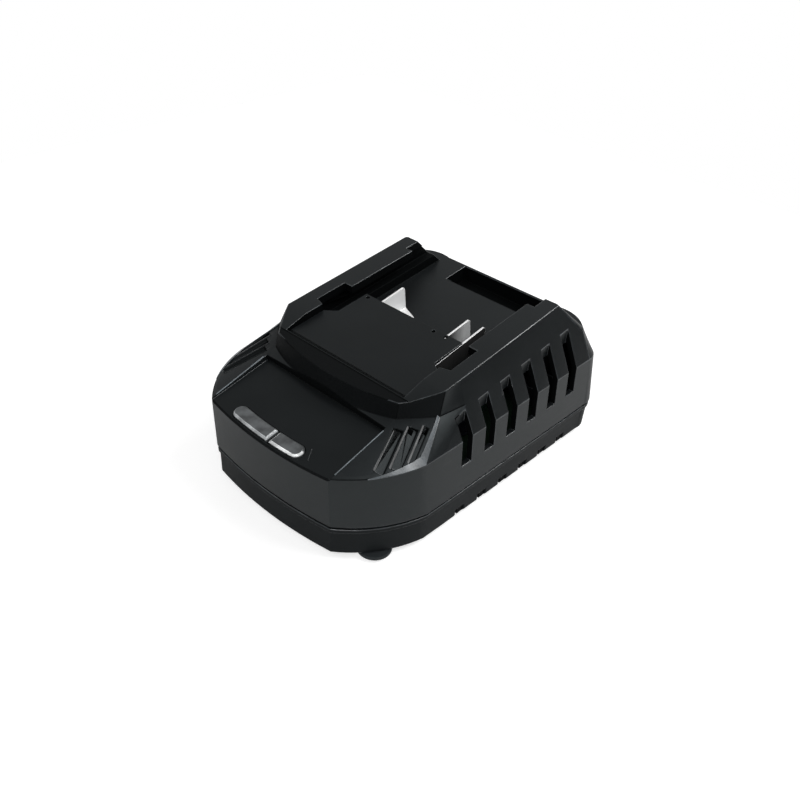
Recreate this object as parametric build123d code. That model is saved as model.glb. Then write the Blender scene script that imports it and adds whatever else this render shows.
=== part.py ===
from build123d import *
from math import atan, cos, degrees, radians, sin, tan
import os

# Slide-pack battery charger. Millimetres, +Z up. X is across the rails, -Y is the indicator end
# and +Y the end with the cord inlet. The origin is under the middle of the feet.

# ---------------------------------------------------------------- driving dimensions
WALL = 2.4                # moulded wall of both housings
FOOT_DROP = 2.8           # how far the feet stand below the lower housing
SEAM_Z = 16.5             # parting plane between the two housings
CREASE_Z = 39.2           # level edge where the upright walls end and the slopes begin
GAP = 1.1                 # shadow gap along the seam
NOSE_HALF = 30.2          # half width of the bowed front between its two upright edges
SIDE_FLARE = 0.04         # both sides spread by this much per millimetre towards the rear
SIDE_X = (49.3, 50.9)     # half width beside the rails' front end, at the crease and at the seam
BASE_INSET = 0.8          # the lower housing's wall stands back from the seam by this much

RAIL_HALF = 40.0          # outer half width over the two rails
RAIL_FRONT = -20.3        # where the rails' top starts to fall towards the front
RAIL_Z = 56.9             # height of the rails' top there
RAIL_TILT = 5.7           # degrees by which the dock rises towards the rear
DOCK_BASE = 8.0           # depth of the dock's foot line below the rails' top
HOLLOW_ROOF = 4.5         # the hollow inside the rails ends this far below their top
RIM_DROP = 1.95           # depth of the rim in front of the terminal tower
LIP_HALF = 29.9           # half width of the slot between the two lips
LIP_THICK = 3.8
GROOVE_HALF = 34.6        # half width over the bottoms of the two rail grooves
GROOVE_LOW = 9.6          # lower edge of the grooves, below the rails' top
LEDGE_HALF = 30.9         # half width of the trough under the grooves
DECK = 14.0               # depth of the trough's floor below the rails' top
NOTCH = (10.2, 25.4)      # stretch of each lip that is cut away, along the dock
NOTCH_HALF = 34.0
LIP_END = 62.3            # the lips stop here and a wider mouth follows
MOUTH_HALF = 33.3
RAIL_END = 69.8           # the rails slope down to the deck from here
RIM = -10.1               # rear edge of the rim in front of the terminal tower
PIT_SIDE = (-18.8, 24.4)  # latch pit behind the rails
PIT = (76.2, 85.5)
PIT_DEEP = 7.0
PIT_RAMP = (4.2, 3.6)     # length and depth of the ramp along its front edge

TOWER_TOP = 2.8           # the tower's top below the rails' top
TOWER_HALF = (29.5, 24.9) # its half width ahead of and behind its step
TOWER_STEP = 11.4
TOWER_REAR = 28.5
BLADE_REAR = 42.4
BLADE_THICK = 0.8
BLADE_FOOT = (43.1, 7.8, 39.8)   # the left blade's foot: its reach at the blade, width, outer reach
BLADE_X = {"terminal_blade_left": -16.9, "terminal_blade_middle": 17.2, "terminal_blade_right": 24.5}

VENT_COUNT = 6
VENT_PITCH = 12.95
VENT_FIRST = -16.4        # middle of the vent nearest the front
VENT_WIDE = 5.4
VENT_SILL = 27.9
VENT_BACK = 44.8          # the vents are cut down along this upright plane

# grooves in the front corners: upper end x, y, z of each, its length, fall in degrees and width
CORNER_GROOVES = [(32.7, -38.0, 46.2, 18.2, 19.2, 3.4), (36.0, -34.1, 46.5, 17.2, 20.6, 3.5),
                  (39.7, -30.4, 46.9, 15.0, 24.0, 1.9)]
GROOVE_LEAN = 21.0        # they run outwards by this many degrees from straight ahead
GROOVE_CANT = 8.0         # the corner's own surface falls outwards by this much
GROOVE_DEEP = 1.15
SLOT = (0.3, 1.9, 1.9, 3.4)   # pocket at each upper end: from, to across, length and depth

PANEL_HALF = 30.6
PANEL_REAR = -39.5
PANEL_SLOPE = 0.2         # rise of the recessed indicator panel per millimetre
PANEL_Z = 38.6            # its height at the two ends of the bowed front edge

LENS_BACK = 4.5           # middle line of the lenses behind the front edge
LENS_WIDE = 5.9
LENS_SPAN = {"status_lens_long": (-19.4, 0.9), "status_lens_short": (2.0, 15.6)}
LENS_PROUD = 1.2
LENS_EDGE = 0.7           # chamfer round the top of a lens

FEET = [(38.3, -50.7), (42.5, 56.0)]
FOOT_R = 6.6
CASE_SCREWS = [(27.5, -51.0), (30.0, 60.0)]
NOTCH_X = 44.5            # inner end of the notches along the lower housing's bottom edge
NOTCH_TOP = 6.4
INLET_R = 3.1             # cord hole through the gland
GLAND_WAIST = 4.7
REAR_SEAM = 71.9          # rear wall at the seam
GLAND_Y = (67.2, 71.0)    # the collar in the housings that grips the gland
BOARD_Z = 9.0             # underside of the main board
BOARD_THICK = 1.6
BOARD = (-39.0, 39.0, -44.0, 51.0)
BOARD_POSTS = [(-34.0, -39.0), (34.0, -39.0), (-34.0, 46.0), (34.0, 46.0)]
LAMP_POSTS = (-22.6, 18.6)   # screw bosses of the lamp board, behind the lenses
LAMP_POST_BACK = 8.0
LAMP_X = (-14.0, -5.0, 8.8)
LAMP_BOARD_Z = (-13.6, 12.1) # underside of the lamp board below the panel, and the bosses' length

CENTRE_SHIFT = -2.2       # moves the finished model so that the origin is under its middle
LOW = (Align.CENTER, Align.CENTER, Align.MIN)
PARTS = {}
FRONT_Y = -69.4           # middle of the bowed front, at the crease
NOSE_Y = -66.8            # its two ends


def keep(name, shape):
    """Stores a finished piece under its node name."""
    PARTS[name] = shape


# ---------------------------------------------------------------- small helpers
def block(x0, x1, y0, y1, z0, z1):
    return Pos((x0 + x1) / 2, (y0 + y1) / 2, (z0 + z1) / 2) * Box(abs(x1 - x0), abs(y1 - y0), z1 - z0)


def post(x, y, z0, z1, radius, hole=0.0):
    tube = Pos(x, y, (z0 + z1) / 2) * Cylinder(radius, z1 - z0)
    if hole:
        tube -= Pos(x, y, (z0 + z1) / 2) * Cylinder(hole, z1 - z0 + 1)
    return tube


def prism(points, z0, z1):
    """Upright prism on a plan polygon."""
    return Pos(0, 0, z0) * extrude(make_face(Polyline(*points, close=True)), z1 - z0)


def four(spots):
    return [(sx * x, y) for x, y in spots for sx in (-1, 1)]


# The dock has its own frame: x across, v along the tilted rails from RAIL_FRONT, w out of them.
DOCK = Location((0, RAIL_FRONT, RAIL_Z), (RAIL_TILT, 0, 0))


def dock_block(x0, x1, v0, v1, w0, w1):
    return DOCK * block(x0, x1, v0, v1, w0, w1)


def dock_prism(points, w0, w1):
    return DOCK * prism(points, w0, w1)


def rails_z(y):
    """Height of the rails' top plane over a place along the charger."""
    return RAIL_Z + (y - RAIL_FRONT) * tan(radians(RAIL_TILT))


def side_x(y, level=0):
    """Half width of the side walls at the crease (0) or at the seam (1)."""
    return SIDE_X[level] + SIDE_FLARE * (y - RAIL_FRONT)


def shoulder_x(y, depth):
    """Half width of the shoulder, which falls from the rails' outer edge to the crease."""
    return RAIL_HALF + (side_x(y) - RAIL_HALF) * depth / (rails_z(y) - CREASE_Z)


# ---------------------------------------------------------------- the body's outline at each level
# Each outline is a dict of plan points of the right-hand half, and the left half mirrors them:
# front is the middle of the bowed front, nose its end, bulge a point on the big corner curve,
# side_front, side_mid and side_rear lie along the side, corner and rear end the rear corner.
CREASE = {"front": (0, FRONT_Y), "nose": (NOSE_HALF, NOSE_Y), "bulge": (42.0, -53.7),
          "side_front": (48.4, -38.2), "side_mid": (side_x(-28.0), -28.0),
          "side_rear": (side_x(60.5), 60.5), "corner": (50.4, 66.9), "rear": (43.5, 69.9)}
SEAM = {"front": (0, -68.5), "nose": (30.6, -65.8), "bulge": (43.4, -52.0),
        "side_front": (50.1, -36.6), "side_mid": (side_x(-26.0, 1), -26.0),
        "side_rear": (side_x(61.0, 1), 61.0), "corner": (52.4, 68.8), "rear": (45.0, 71.9)}
FOOT = {"front": (0, -41.4), "nose": (31.0, -34.8), "side_front": (41.4, -24.1),
        "side_mid": (shoulder_x(-13.0, DOCK_BASE), -13.0),
        "side_rear": (shoulder_x(59.5, DOCK_BASE), 59.5), "corner": (40.2, 63.4), "rear": (22.0, 66.2)}
LIP = {"front": (0, -37.2), "nose": (30.7, -33.4), "side_front": (RAIL_HALF, RAIL_FRONT),
       "side_mid": (RAIL_HALF, -12.0), "side_rear": (RAIL_HALF, 58.0), "corner": (34.0, 61.5),
       "rear": (15.0, 63.6)}
# unit directions in which those points move when an outline is inset
INWARD = {"front": (0, 1), "nose": (-0.45, 1.0), "bulge": (-0.83, 0.56), "side_front": (-0.97, 0.3),
          "side_mid": (-1, 0), "side_rear": (-1, -0.3), "corner": (-0.75, -0.7), "rear": (-0.2, -1)}


def inset_points(points, inset):
    """The plan points of an outline, moved inwards."""
    return {key: (x + inset * INWARD[key][0], y + inset * INWARD[key][1])
            for key, (x, y) in points.items()}


def between(low, high, t):
    """Outline a part of the way from one outline to another, both with the same keys."""
    return {key: tuple(a + t * (b - a) for a, b in zip(low[key], high[key])) for key in low}


def side_run(points, s, level):
    """Points along the straight side, one between each two vents, so that each face holds one vent."""
    (x0, y0), (x1, y1) = points["side_mid"], points["side_rear"]
    stops = [y0] + [VENT_FIRST + (i + 0.5) * VENT_PITCH for i in range(VENT_COUNT - 1)] + [y1]
    return [(s * (x0 + (x1 - x0) * (y - y0) / (y1 - y0)), y, level(y)) for y in stops]


def outline(points, level):
    """Closed wire. level(y) is the height, so the wire may lie in a tilted plane."""
    def at(key, s):
        x, y = points[key]
        return (s * x, y, level(y))

    def half(s):
        nose, front = at("nose", s), at("side_front", s)
        if "bulge" in points:
            curve = Edge.make_three_point_arc(nose, at("bulge", s), front)
        else:
            curve = Edge.make_line(nose, front)
        run = [front] + side_run(points, s, level)
        side = [Edge.make_line(a, b) for a, b in zip(run, run[1:])]
        turn = Edge.make_three_point_arc(run[-1], at("corner", s), at("rear", s))
        return [curve] + side + [turn]
    bow = Edge.make_three_point_arc(at("nose", -1), at("front", 1), at("nose", 1))
    back = Edge.make_line(at("rear", 1), at("rear", -1))
    return Wire([bow] + half(1) + [back] + half(-1)[::-1])


def wall_outline(z, inset=0.0):
    """Outline of the upright walls, which spread from the crease down to the seam."""
    t = (CREASE_Z - z) / (CREASE_Z - SEAM_Z)
    return outline(inset_points(between(CREASE, SEAM, t), inset), lambda y: z)


def base_outline(z, inset):
    """Outline of the lower housing, measured inwards from the seam's outline."""
    return outline(inset_points(SEAM, inset), lambda y: z)


def dock_outline(points, depth, inset=0.0):
    """Outline in the plane that lies depth below the rails' top."""
    return outline(inset_points(points, inset), lambda y: rails_z(y) - depth)


def body(inset=0.0, floor=SEAM_Z):
    """The upper housing's outer form, or the same form inset all round for its hollow."""
    levels = [wall_outline(floor, inset), wall_outline(CREASE_Z - 0.25 * inset, inset)]
    levels.append(dock_outline(FOOT, DOCK_BASE, inset * 1.15))
    if inset:
        roof = between(FOOT, LIP, 1 - HOLLOW_ROOF / DOCK_BASE)
        levels.append(dock_outline(roof, HOLLOW_ROOF, inset * 1.15))
    else:
        levels.append(dock_outline(LIP, 0.0))
    return Solid.make_loft(levels, ruled=True)


# ---------------------------------------------------------------- cutters in the dock
def dock_fall():
    """What stands above the front of the dock, where the rails' top falls to the rim."""
    angle = degrees(atan(RIM_DROP / -RIM))
    fall = DOCK * Rot(angle, 0, 0) * block(-60, 60, RIM - 1, 0, 0, 20)
    return fall + dock_block(-60, 60, -40, RIM - 0.1, -RIM_DROP, 20)


def trough():
    """The space that a battery pack's foot slides into."""
    long = RAIL_END + 40
    cut = dock_block(-LIP_HALF, LIP_HALF, RIM, long, -GROOVE_LOW, 10)
    cut += dock_block(-LEDGE_HALF, LEDGE_HALF, NOTCH[0], long, -DECK, -GROOVE_LOW + 0.5)
    cut += dock_block(-LIP_HALF, LIP_HALF, RIM, NOTCH[0] + 1, -DECK, -LIP_THICK)
    cut += dock_block(-GROOVE_HALF, GROOVE_HALF, NOTCH[0], long, -GROOVE_LOW, -LIP_THICK)
    for s in (-1, 1):
        notch = [(s * (LIP_HALF - 1), NOTCH[0] - 1.6), (s * NOTCH_HALF, NOTCH[0]),
                 (s * NOTCH_HALF, NOTCH[1]), (s * (LIP_HALF - 1), NOTCH[1])]
        cut += dock_prism(notch, -LIP_THICK - 1, 10)
    cut += dock_block(-MOUTH_HALF, MOUTH_HALF, LIP_END, long, -LIP_THICK - 1, 10)
    return cut


def rail_plan(half, rear, radius, w):
    """Outline of both rails at one height over the deck, with rounded rear corners."""
    c = radius * (1 - cos(radians(45)))
    edges = [Edge.make_line((-half, 20, w), (half, 20, w)),
             Edge.make_line((half, 20, w), (half, rear - radius, w)),
             Edge.make_three_point_arc((half, rear - radius, w), (half - c, rear - c, w),
                                       (half - radius, rear, w)),
             Edge.make_line((half - radius, rear, w), (radius - half, rear, w)),
             Edge.make_three_point_arc((radius - half, rear, w), (c - half, rear - c, w),
                                       (-half, rear - radius, w)),
             Edge.make_line((-half, rear - radius, w), (-half, 20, w))]
    return Wire(edges)


def rail_ends():
    """Cuts the rails' rear ends down to the deck, with a corner that widens like a cone."""
    low = shoulder_x(52.0, DECK) + 0.25
    rails = Solid.make_loft([rail_plan(low, RAIL_END + DECK - 1.5, 5.0, -DECK),
                             rail_plan(RAIL_HALF + 0.25, RAIL_END, 1.6, 0)], ruled=True)
    rails += dock_block(-60, 60, 20, RAIL_END, 0, 1)
    return dock_block(-70, 70, 25, 130, -DECK, 20) - DOCK * rails


def latch_pit():
    x0, x1 = PIT_SIDE
    pit = dock_block(x0, x1, *PIT, -DECK - PIT_DEEP, -DECK + 1)
    run, drop = PIT_RAMP
    lead = [(PIT[0] - run, 0.01), (PIT[0] + 0.01, 0.01), (PIT[0] + 0.01, -drop)]
    face = make_face(Polyline(*[(0, v, w - DECK) for v, w in lead], close=True))
    ramp = DOCK * Pos(x0, 0, 0) * extrude(face, x1 - x0, dir=(1, 0, 0))
    return pit + ramp


# ---------------------------------------------------------------- cutters in the walls
def vent_top(y):
    """Height at which the upright back plane of a vent meets the shoulder."""
    slope = (rails_z(y) - CREASE_Z) / (side_x(y) - RAIL_HALF)
    return rails_z(y) - (VENT_BACK - RAIL_HALF) * slope


def vents():
    """Six slots in each side, cut straight down through the shoulder and the wall."""
    cut = []
    for i in range(VENT_COUNT):
        y = VENT_FIRST + i * VENT_PITCH
        slot = block(VENT_BACK, 62, y - VENT_WIDE / 2, y + VENT_WIDE / 2, VENT_SILL, 62)
        cut += [slot, mirror(slot, Plane.YZ)]
    return cut


def vent_gussets():
    """A corner gusset behind each slot, which gives its opening a pointed top."""
    made = []
    for i in range(VENT_COUNT):
        y = VENT_FIRST + i * VENT_PITCH
        y0, y1 = y - VENT_WIDE / 2 - 0.6, y + VENT_WIDE / 2 + 0.2
        top = vent_top(y) - 0.4
        corner = [(0, y0, top), (0, y1, top), (0, y0, top - 9.5)]
        face = make_face(Polyline(*corner, close=True))
        plate = Pos(VENT_BACK - 1.8, 0, 0) * extrude(face, 1.8, dir=(1, 0, 0))
        made += [plate, mirror(plate, Plane.YZ)]
    return made


def corner_grooves():
    """Three saw-tooth grooves in each front corner, each with a deep pocket at its upper end."""
    near, far, long, deep = SLOT
    cut = []
    for x, y, z, length, fall, wide in CORNER_GROOVES:
        lean = Location((x, y, z), (0, 0, GROOVE_LEAN))
        dip = Location((0, 0, 0), (fall, GROOVE_CANT + degrees(atan(GROOVE_DEEP / wide)), 0))
        tool = lean * dip * block(0, wide, -length, 0, 0, 9)
        tool += lean * block(near, far, -long, 0, -deep, 4)
        cut += [tool, mirror(tool, Plane.YZ)]
    return cut


def panel_recess():
    """The sunken place of the indicator panel, which runs out at the front edge."""
    long = (PANEL_REAR - NOSE_Y) / cos(atan(PANEL_SLOPE))
    return panel_frame() * block(-PANEL_HALF, PANEL_HALF, -8, long, 0, 12)


def panel_frame():
    """Frame of the indicator panel's surface: x across, y up its slope, z out of it."""
    return Location((0, NOSE_Y, PANEL_Z), (degrees(atan(PANEL_SLOPE)), 0, 0))


def lens_plan(x0, x1, grow=0.0):
    """Plan of one lens, bent to follow the bowed front, with a round outer end."""
    radius = NOSE_HALF ** 2 / 2 / (NOSE_Y - FRONT_Y)
    half = LENS_WIDE / 2 + grow
    centre_y = FRONT_Y - NOSE_Y + LENS_BACK + radius

    def on(r, x):
        return (x, centre_y - (r * r - x * x) ** 0.5)
    outer, inner = radius + half, radius - half
    round_left = abs(x0) > abs(x1)
    a, b = (x0 + half, x1 + grow) if round_left else (x0 - grow, x1 - half)
    edges = [Edge.make_three_point_arc(on(outer, a), on(outer, (a + b) / 2), on(outer, b)),
             Edge.make_three_point_arc(on(inner, b), on(inner, (a + b) / 2), on(inner, a))]
    ends = [(on(outer, b), on(inner, b)), (on(inner, a), on(outer, a))]
    tips = [b + half, a - half]
    rounds = [not round_left, round_left]
    caps = []
    for (p, q), tip, is_round in zip(ends, tips, rounds):
        if is_round:
            caps.append(Edge.make_three_point_arc(p, on(radius, tip), q))
        else:
            caps.append(Edge.make_line(p, q))
    return Face(Wire([edges[0], caps[0], edges[1], caps[1]]))


def lens_solid(x0, x1, z0, z1, grow=0.0, edge=0.0):
    """A lens or its opening, between two heights over the panel, with an optional top chamfer."""
    form = extrude(lens_plan(x0, x1, grow), z1 - z0)
    if edge:
        form = chamfer(form.edges().group_by(Axis.Z)[-1], edge)
    return panel_frame() * Pos(0, 0, z0) * form


# ---------------------------------------------------------------- housings
def gland_seat(z0, z1):
    """Collar round the gland's waist inside the rear wall, between two heights."""
    collar = Pos(0, (GLAND_Y[0] + GLAND_Y[1]) / 2, SEAM_Z) * Rot(90, 0, 0) * \
        Cylinder(GLAND_WAIST + 2.6, GLAND_Y[1] - GLAND_Y[0])
    return collar & block(-12, 12, 50, 80, z0, z1)


def gland_bore():
    return Pos(0, REAR_SEAM, SEAM_Z) * Rot(90, 0, 0) * Cylinder(GLAND_WAIST + 0.05, 20)


def hollow_of_upper():
    """The room inside the upper housing, clear of the trough, the panel, the deck and the pit."""
    room = body(inset=WALL, floor=SEAM_Z - 1)
    room -= dock_block(-GROOVE_HALF - WALL, GROOVE_HALF + WALL, -20, 120, -DECK - WALL, 20)
    room -= dock_block(-60, 60, RAIL_END - 5, 120, -DECK - WALL, 20)
    room -= panel_frame() * block(-50, 50, -10, 60, -WALL, 30)
    room -= dock_block(PIT_SIDE[0] - WALL, PIT_SIDE[1] + WALL, PIT[0] - WALL - 2, 120,
                       -DECK - PIT_DEEP - WALL, 0)
    return room


def upper_housing():
    shell = body() - hollow_of_upper()
    inside = body(inset=0.3)
    for plate in vent_gussets():
        shell += plate & inside
    for x, y in four(CASE_SCREWS):
        shell += post(x, y, SEAM_Z, 60, 4.2) & inside
    for x in LAMP_POSTS:
        boss = Cylinder(2.6, LAMP_BOARD_Z[1], align=(Align.CENTER, Align.CENTER, Align.MAX))
        shell += panel_frame() * Pos(x, LAMP_POST_BACK, -0.5) * boss
    shell += gland_seat(SEAM_Z, SEAM_Z + 12)
    shell -= trough()
    shell -= dock_fall()
    shell -= rail_ends()
    shell -= latch_pit()
    shell -= panel_recess()
    for tool in vents() + corner_grooves():
        shell -= tool
    for x, y in four(CASE_SCREWS):
        shell -= post(x, y, SEAM_Z - 1, SEAM_Z + 14, 1.3)
    for x in LAMP_POSTS:
        shell -= panel_frame() * Pos(x, LAMP_POST_BACK, -10) * Cylinder(0.9, 12)
    for span in LENS_SPAN.values():
        shell -= lens_solid(*span, -8, 6, grow=0.15)
    # window under the terminal tower, for the tails of the blades
    shell -= dock_block(-27, 27, -6, TOWER_REAR - 3, -DECK - WALL - 1, -DECK + 1)
    return shell - gland_bore()


def lower_housing():
    # rim band at the seam, wall below it, and a small chamfer round the bottom edge
    band_low = SEAM_Z - GAP - 1.9
    band = Solid.make_loft([base_outline(band_low, 0.25), base_outline(SEAM_Z - GAP, 0.2)], ruled=True)
    wall = Solid.make_loft([base_outline(FOOT_DROP, BASE_INSET + 0.7),
                            base_outline(FOOT_DROP + 0.8, BASE_INSET + 0.1),
                            base_outline(band_low, BASE_INSET)], ruled=True)
    room = Solid.make_loft([base_outline(FOOT_DROP + WALL, WALL + 1.6),
                            base_outline(SEAM_Z, WALL + 0.7)], ruled=True)
    lip = Solid.make_loft([base_outline(SEAM_Z - GAP - 0.5, 1.3), base_outline(SEAM_Z, 1.3)], ruled=True)
    tray = band + wall + lip - room
    for x, y in four(CASE_SCREWS):
        tray += post(x, y, FOOT_DROP + 0.2, SEAM_Z, 5.2)
    for x, y in BOARD_POSTS:
        tray += post(x, y, FOOT_DROP + 1, BOARD_Z, 3.4)
    tray += gland_seat(SEAM_Z - 12, SEAM_Z)
    for i in range(VENT_COUNT):
        y = VENT_FIRST + i * VENT_PITCH
        notch = block(NOTCH_X, 60, y - 2.5, y + 2.5, FOOT_DROP - 1, NOTCH_TOP)
        tray -= notch
        tray -= mirror(notch, Plane.YZ)
    for x, y in four(CASE_SCREWS):
        tray -= post(x, y, FOOT_DROP - 1, 11.5, 3.4)
        tray -= post(x, y, 11, SEAM_Z + 1, 1.8)
    for x, y in BOARD_POSTS:
        tray -= post(x, y, 5.0, BOARD_Z + 1, 1.1)
    for x, y in four(FEET):
        tray -= post(x, y, 0, FOOT_DROP + 1.1, 3.5)
    return tray - gland_bore()


# ---------------------------------------------------------------- terminal tower and blades
def blade_form(x, half):
    """Upright contact blade with a tail that goes down to the board."""
    top = -TOWER_TOP - 0.05
    foot = -DECK + 0.05
    side = [(12.0, top - 1.5), (BLADE_REAR - 0.8, top), (BLADE_REAR, top - 0.8),
            (BLADE_REAR + 0.8, foot), (18.0, foot), (18.0, -DECK - 9.0), (13.0, -DECK - 9.0),
            (13.0, foot), (12.0, foot)]
    face = make_face(Polyline(*[(0, v, w) for v, w in side], close=True))
    return DOCK * Pos(x - half, 0, 0) * extrude(face, 2 * half, dir=(1, 0, 0))


def blade(name):
    """A finished blade. The left one has a foot that is bent over onto the deck."""
    x = BLADE_X[name]
    form = blade_form(x, BLADE_THICK / 2)
    if name == "terminal_blade_left":
        long, side, short = BLADE_FOOT
        plan = [(x, TOWER_REAR + 1), (x, long), (x + side, short), (x + side, TOWER_REAR + 1)]
        form += dock_prism(plan, -DECK + 0.05, -DECK + 0.05 + BLADE_THICK)
    return form


def terminal_tower():
    wide, slim = TOWER_HALF
    plan = [(-wide, RIM + 0.35), (wide, RIM + 0.35), (wide, TOWER_STEP - 2.5), (slim + 1.2, TOWER_STEP),
            (slim, TOWER_STEP + 1.2), (slim, TOWER_REAR), (-slim, TOWER_REAR),
            (-slim, TOWER_STEP + 1.2), (-slim - 1.2, TOWER_STEP), (-wide, TOWER_STEP - 2.5)]
    tower = dock_prism(plan, -DECK + 0.02, -TOWER_TOP)
    hollow = dock_block(-wide + 3, wide - 3, RIM + 4, TOWER_STEP - 4, -DECK - 1, -TOWER_TOP - 3.5)
    tower -= hollow
    tower += dock_block(-26.6, 26.6, -5.6, TOWER_REAR - 3.4, -DECK - WALL - 2.2, -DECK + 0.1) - hollow
    for x in BLADE_X.values():
        tower -= blade_form(x, BLADE_THICK / 2 + 0.1)
    # three small round marks along the rear edge, over the crimped ends of the blades
    for x, v in ((-22.6, 26.9), (11.9, 26.9), (17.9, 26.9)):
        tower -= DOCK * Pos(x, v, -TOWER_TOP) * Cylinder(0.8, 1.6)
    return tower


# ---------------------------------------------------------------- small parts of the case
def gland():
    """Rubber bushing in the seam at the rear, with a waist that the two housings grip."""
    y0, y1 = GLAND_Y[0] - 0.05, REAR_SEAM + 0.3
    profile = [(INLET_R, y0 - 2.2), (GLAND_WAIST + 1.8, y0 - 2.2), (GLAND_WAIST + 1.8, y0),
               (GLAND_WAIST, y0), (GLAND_WAIST, y1), (GLAND_WAIST + 1.6, y1),
               (GLAND_WAIST + 1.6, y1 + 0.6), (GLAND_WAIST + 0.4, y1 + 1.6), (INLET_R, y1 + 1.6)]
    face = make_face(Polyline(*[(r, 0, a) for r, a in profile], close=True))
    return Pos(0, 0, SEAM_Z) * Rot(-90, 0, 0) * revolve(face, Axis.Z)


def pan_screw(length, radius, head_r, head_h):
    """Cross-head screw that points down from the underside of its head, at z = 0."""
    head = Cone(head_r, head_r * 0.82, head_h, align=LOW)
    shank = Cylinder(radius, length, align=(Align.CENTER, Align.CENTER, Align.MAX))
    slot = Pos(0, 0, head_h) * (Box(head_r * 1.1, 0.6, 1.2) + Box(0.6, head_r * 1.1, 1.2))
    return head + shank - slot


def foot(x, y):
    """Rubber foot: a round pad that narrows to its tread, and a stem in the housing's socket."""
    top = FOOT_DROP - 0.02
    profile = [(0, 0), (4.9, 0), (FOOT_R, 1.4), (FOOT_R, top), (3.4, top),
               (3.4, FOOT_DROP + 1.0), (0, FOOT_DROP + 1.0)]
    face = make_face(Polyline(*[(r, 0, z) for r, z in profile], close=True))
    return Pos(x, y, 0) * revolve(face, Axis.Z)


# ---------------------------------------------------------------- electronics
TOP = BOARD_Z + BOARD_THICK
SINKS = {"primary_heat_sink": (-35.0, 6.0, 24.0), "secondary_heat_sink": (35.0, -30.0, -12.0)}


def main_board():
    x0, x1, y0, y1 = BOARD
    board = block(x0, x1, y0, y1, BOARD_Z, TOP)
    board = fillet(board.edges().filter_by(Axis.Z), 2.0)
    for x, y in BOARD_POSTS:
        board -= post(x, y, BOARD_Z - 1, TOP + 1, 1.6)
    # isolation slot between the mains side and the low-voltage side
    board -= block(-30, 22, -11.8, -10.2, BOARD_Z - 1, TOP + 1)
    for x, y0, y1 in SINKS.values():
        for y in (y0 + 2, y1 - 2):
            board -= block(x - 1.3, x + 1.3, y - 1.3, y + 1.3, BOARD_Z - 1, TOP + 1)
    return board


LEAD_R = 1.1
LEAD_LAND = -15.0         # where the output leads meet the board
CORE = (-13.0, 12.4)      # middle of the transformer on the board


def transformer_core():
    x, y = CORE
    core = block(x - 15, x + 15, y - 6, y + 6, TOP + 3.2, TOP + 27.2)
    for s in (-1, 1):
        core -= block(x + s * 8.2 - 3.4, x + s * 8.2 + 3.4, y - 7, y + 7, TOP + 7.2, TOP + 23.2)
    return core


def transformer_winding():
    """Coil former on the core's middle leg with its wound copper and taped cover."""
    x, y = CORE
    z = TOP + 15.2
    coil = Pos(x, y, z) * extrude(RectangleRounded(22.4, 24.0, 4.0), 12.4, both=False)
    coil = Pos(0, 0, -6.2) * coil
    flanges = block(x - 11.4, x + 11.4, y - 13, y + 13, z - 7.8, z - 6.2)
    flanges += block(x - 11.4, x + 11.4, y - 13, y + 13, z + 6.2, z + 7.8)
    coil = coil + flanges - block(x - 4.8, x + 4.8, y - 6, y + 6, z - 20, z + 20)
    for s in (-1, 1):
        coil -= block(x + s * 15.6 - 4.0, x + s * 15.6 + 4.0, y - 6.05, y + 6.05, z - 20, z + 20)
    feet = block(x - 11.4, x + 11.4, y - 13, y - 9, TOP + 1.0, z - 7.7)
    feet += block(x - 11.4, x + 11.4, y + 9, y + 13, TOP + 1.0, z - 7.7)
    coil += feet
    for i in range(4):
        for s in (-1, 1):
            px, py = x - 7.5 + 5 * i, y + s * 11
            coil += block(px - 0.4, px + 0.4, py - 0.4, py + 0.4, TOP, TOP + 1.1)
    return coil


def can_capacitor(x, y, radius, height):
    """Electrolytic can: a rolled neck near the bottom and a sleeve edge at the top."""
    can = post(x, y, TOP + 0.1, TOP + height, radius)
    can = chamfer(can.edges().filter_by(GeomType.CIRCLE), radius * 0.1)
    neck = post(x, y, TOP + 2.0, TOP + 3.0, radius + 1) - post(x, y, TOP + 1.5, TOP + 3.5, radius * 0.93)
    can -= neck
    return can - post(x, y, TOP + height - 0.4, TOP + height + 1, radius * 0.8)


def heat_sink(name, height):
    """Aluminium plate on two tabs, with short fins on the face towards the case's wall."""
    x, y0, y1 = SINKS[name]
    side = 1 if x > 0 else -1
    plate = block(x - 1.2, x + 1.2, y0, y1, TOP + 1, TOP + height)
    for i in range(int((height - 6) // 4.2)):
        z = TOP + 5 + 4.2 * i
        plate += block(x + side * 3.0 - 3.0, x + side * 3.0 + 3.0, y0, y1, z, z + 1.2)
    for y in (y0 + 2, y1 - 2):
        plate += block(x - 1.2, x + 1.2, y - 1.2, y + 1.2, TOP - 1.6, TOP + 1.1)
    return plate


def power_package(x, y, side):
    """TO-220 style package: metal tab, moulded body and three legs, flat against a heat sink."""
    tab = block(x, x + side * 1.2, y - 5, y + 5, TOP + 9, TOP + 22.5)
    tab -= Pos(x + side * 0.6, y, TOP + 19.6) * Rot(0, 90, 0) * Cylinder(1.8, 4)
    case = block(x, x + side * 4.2, y - 5, y + 5, TOP + 7, TOP + 15.6)
    legs = [block(x + side * 2.0, x + side * 2.7, y + k - 0.5, y + k + 0.5, TOP, TOP + 7.1)
            for k in (-2.5, 0, 2.5)]
    return tab + case + legs


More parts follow.
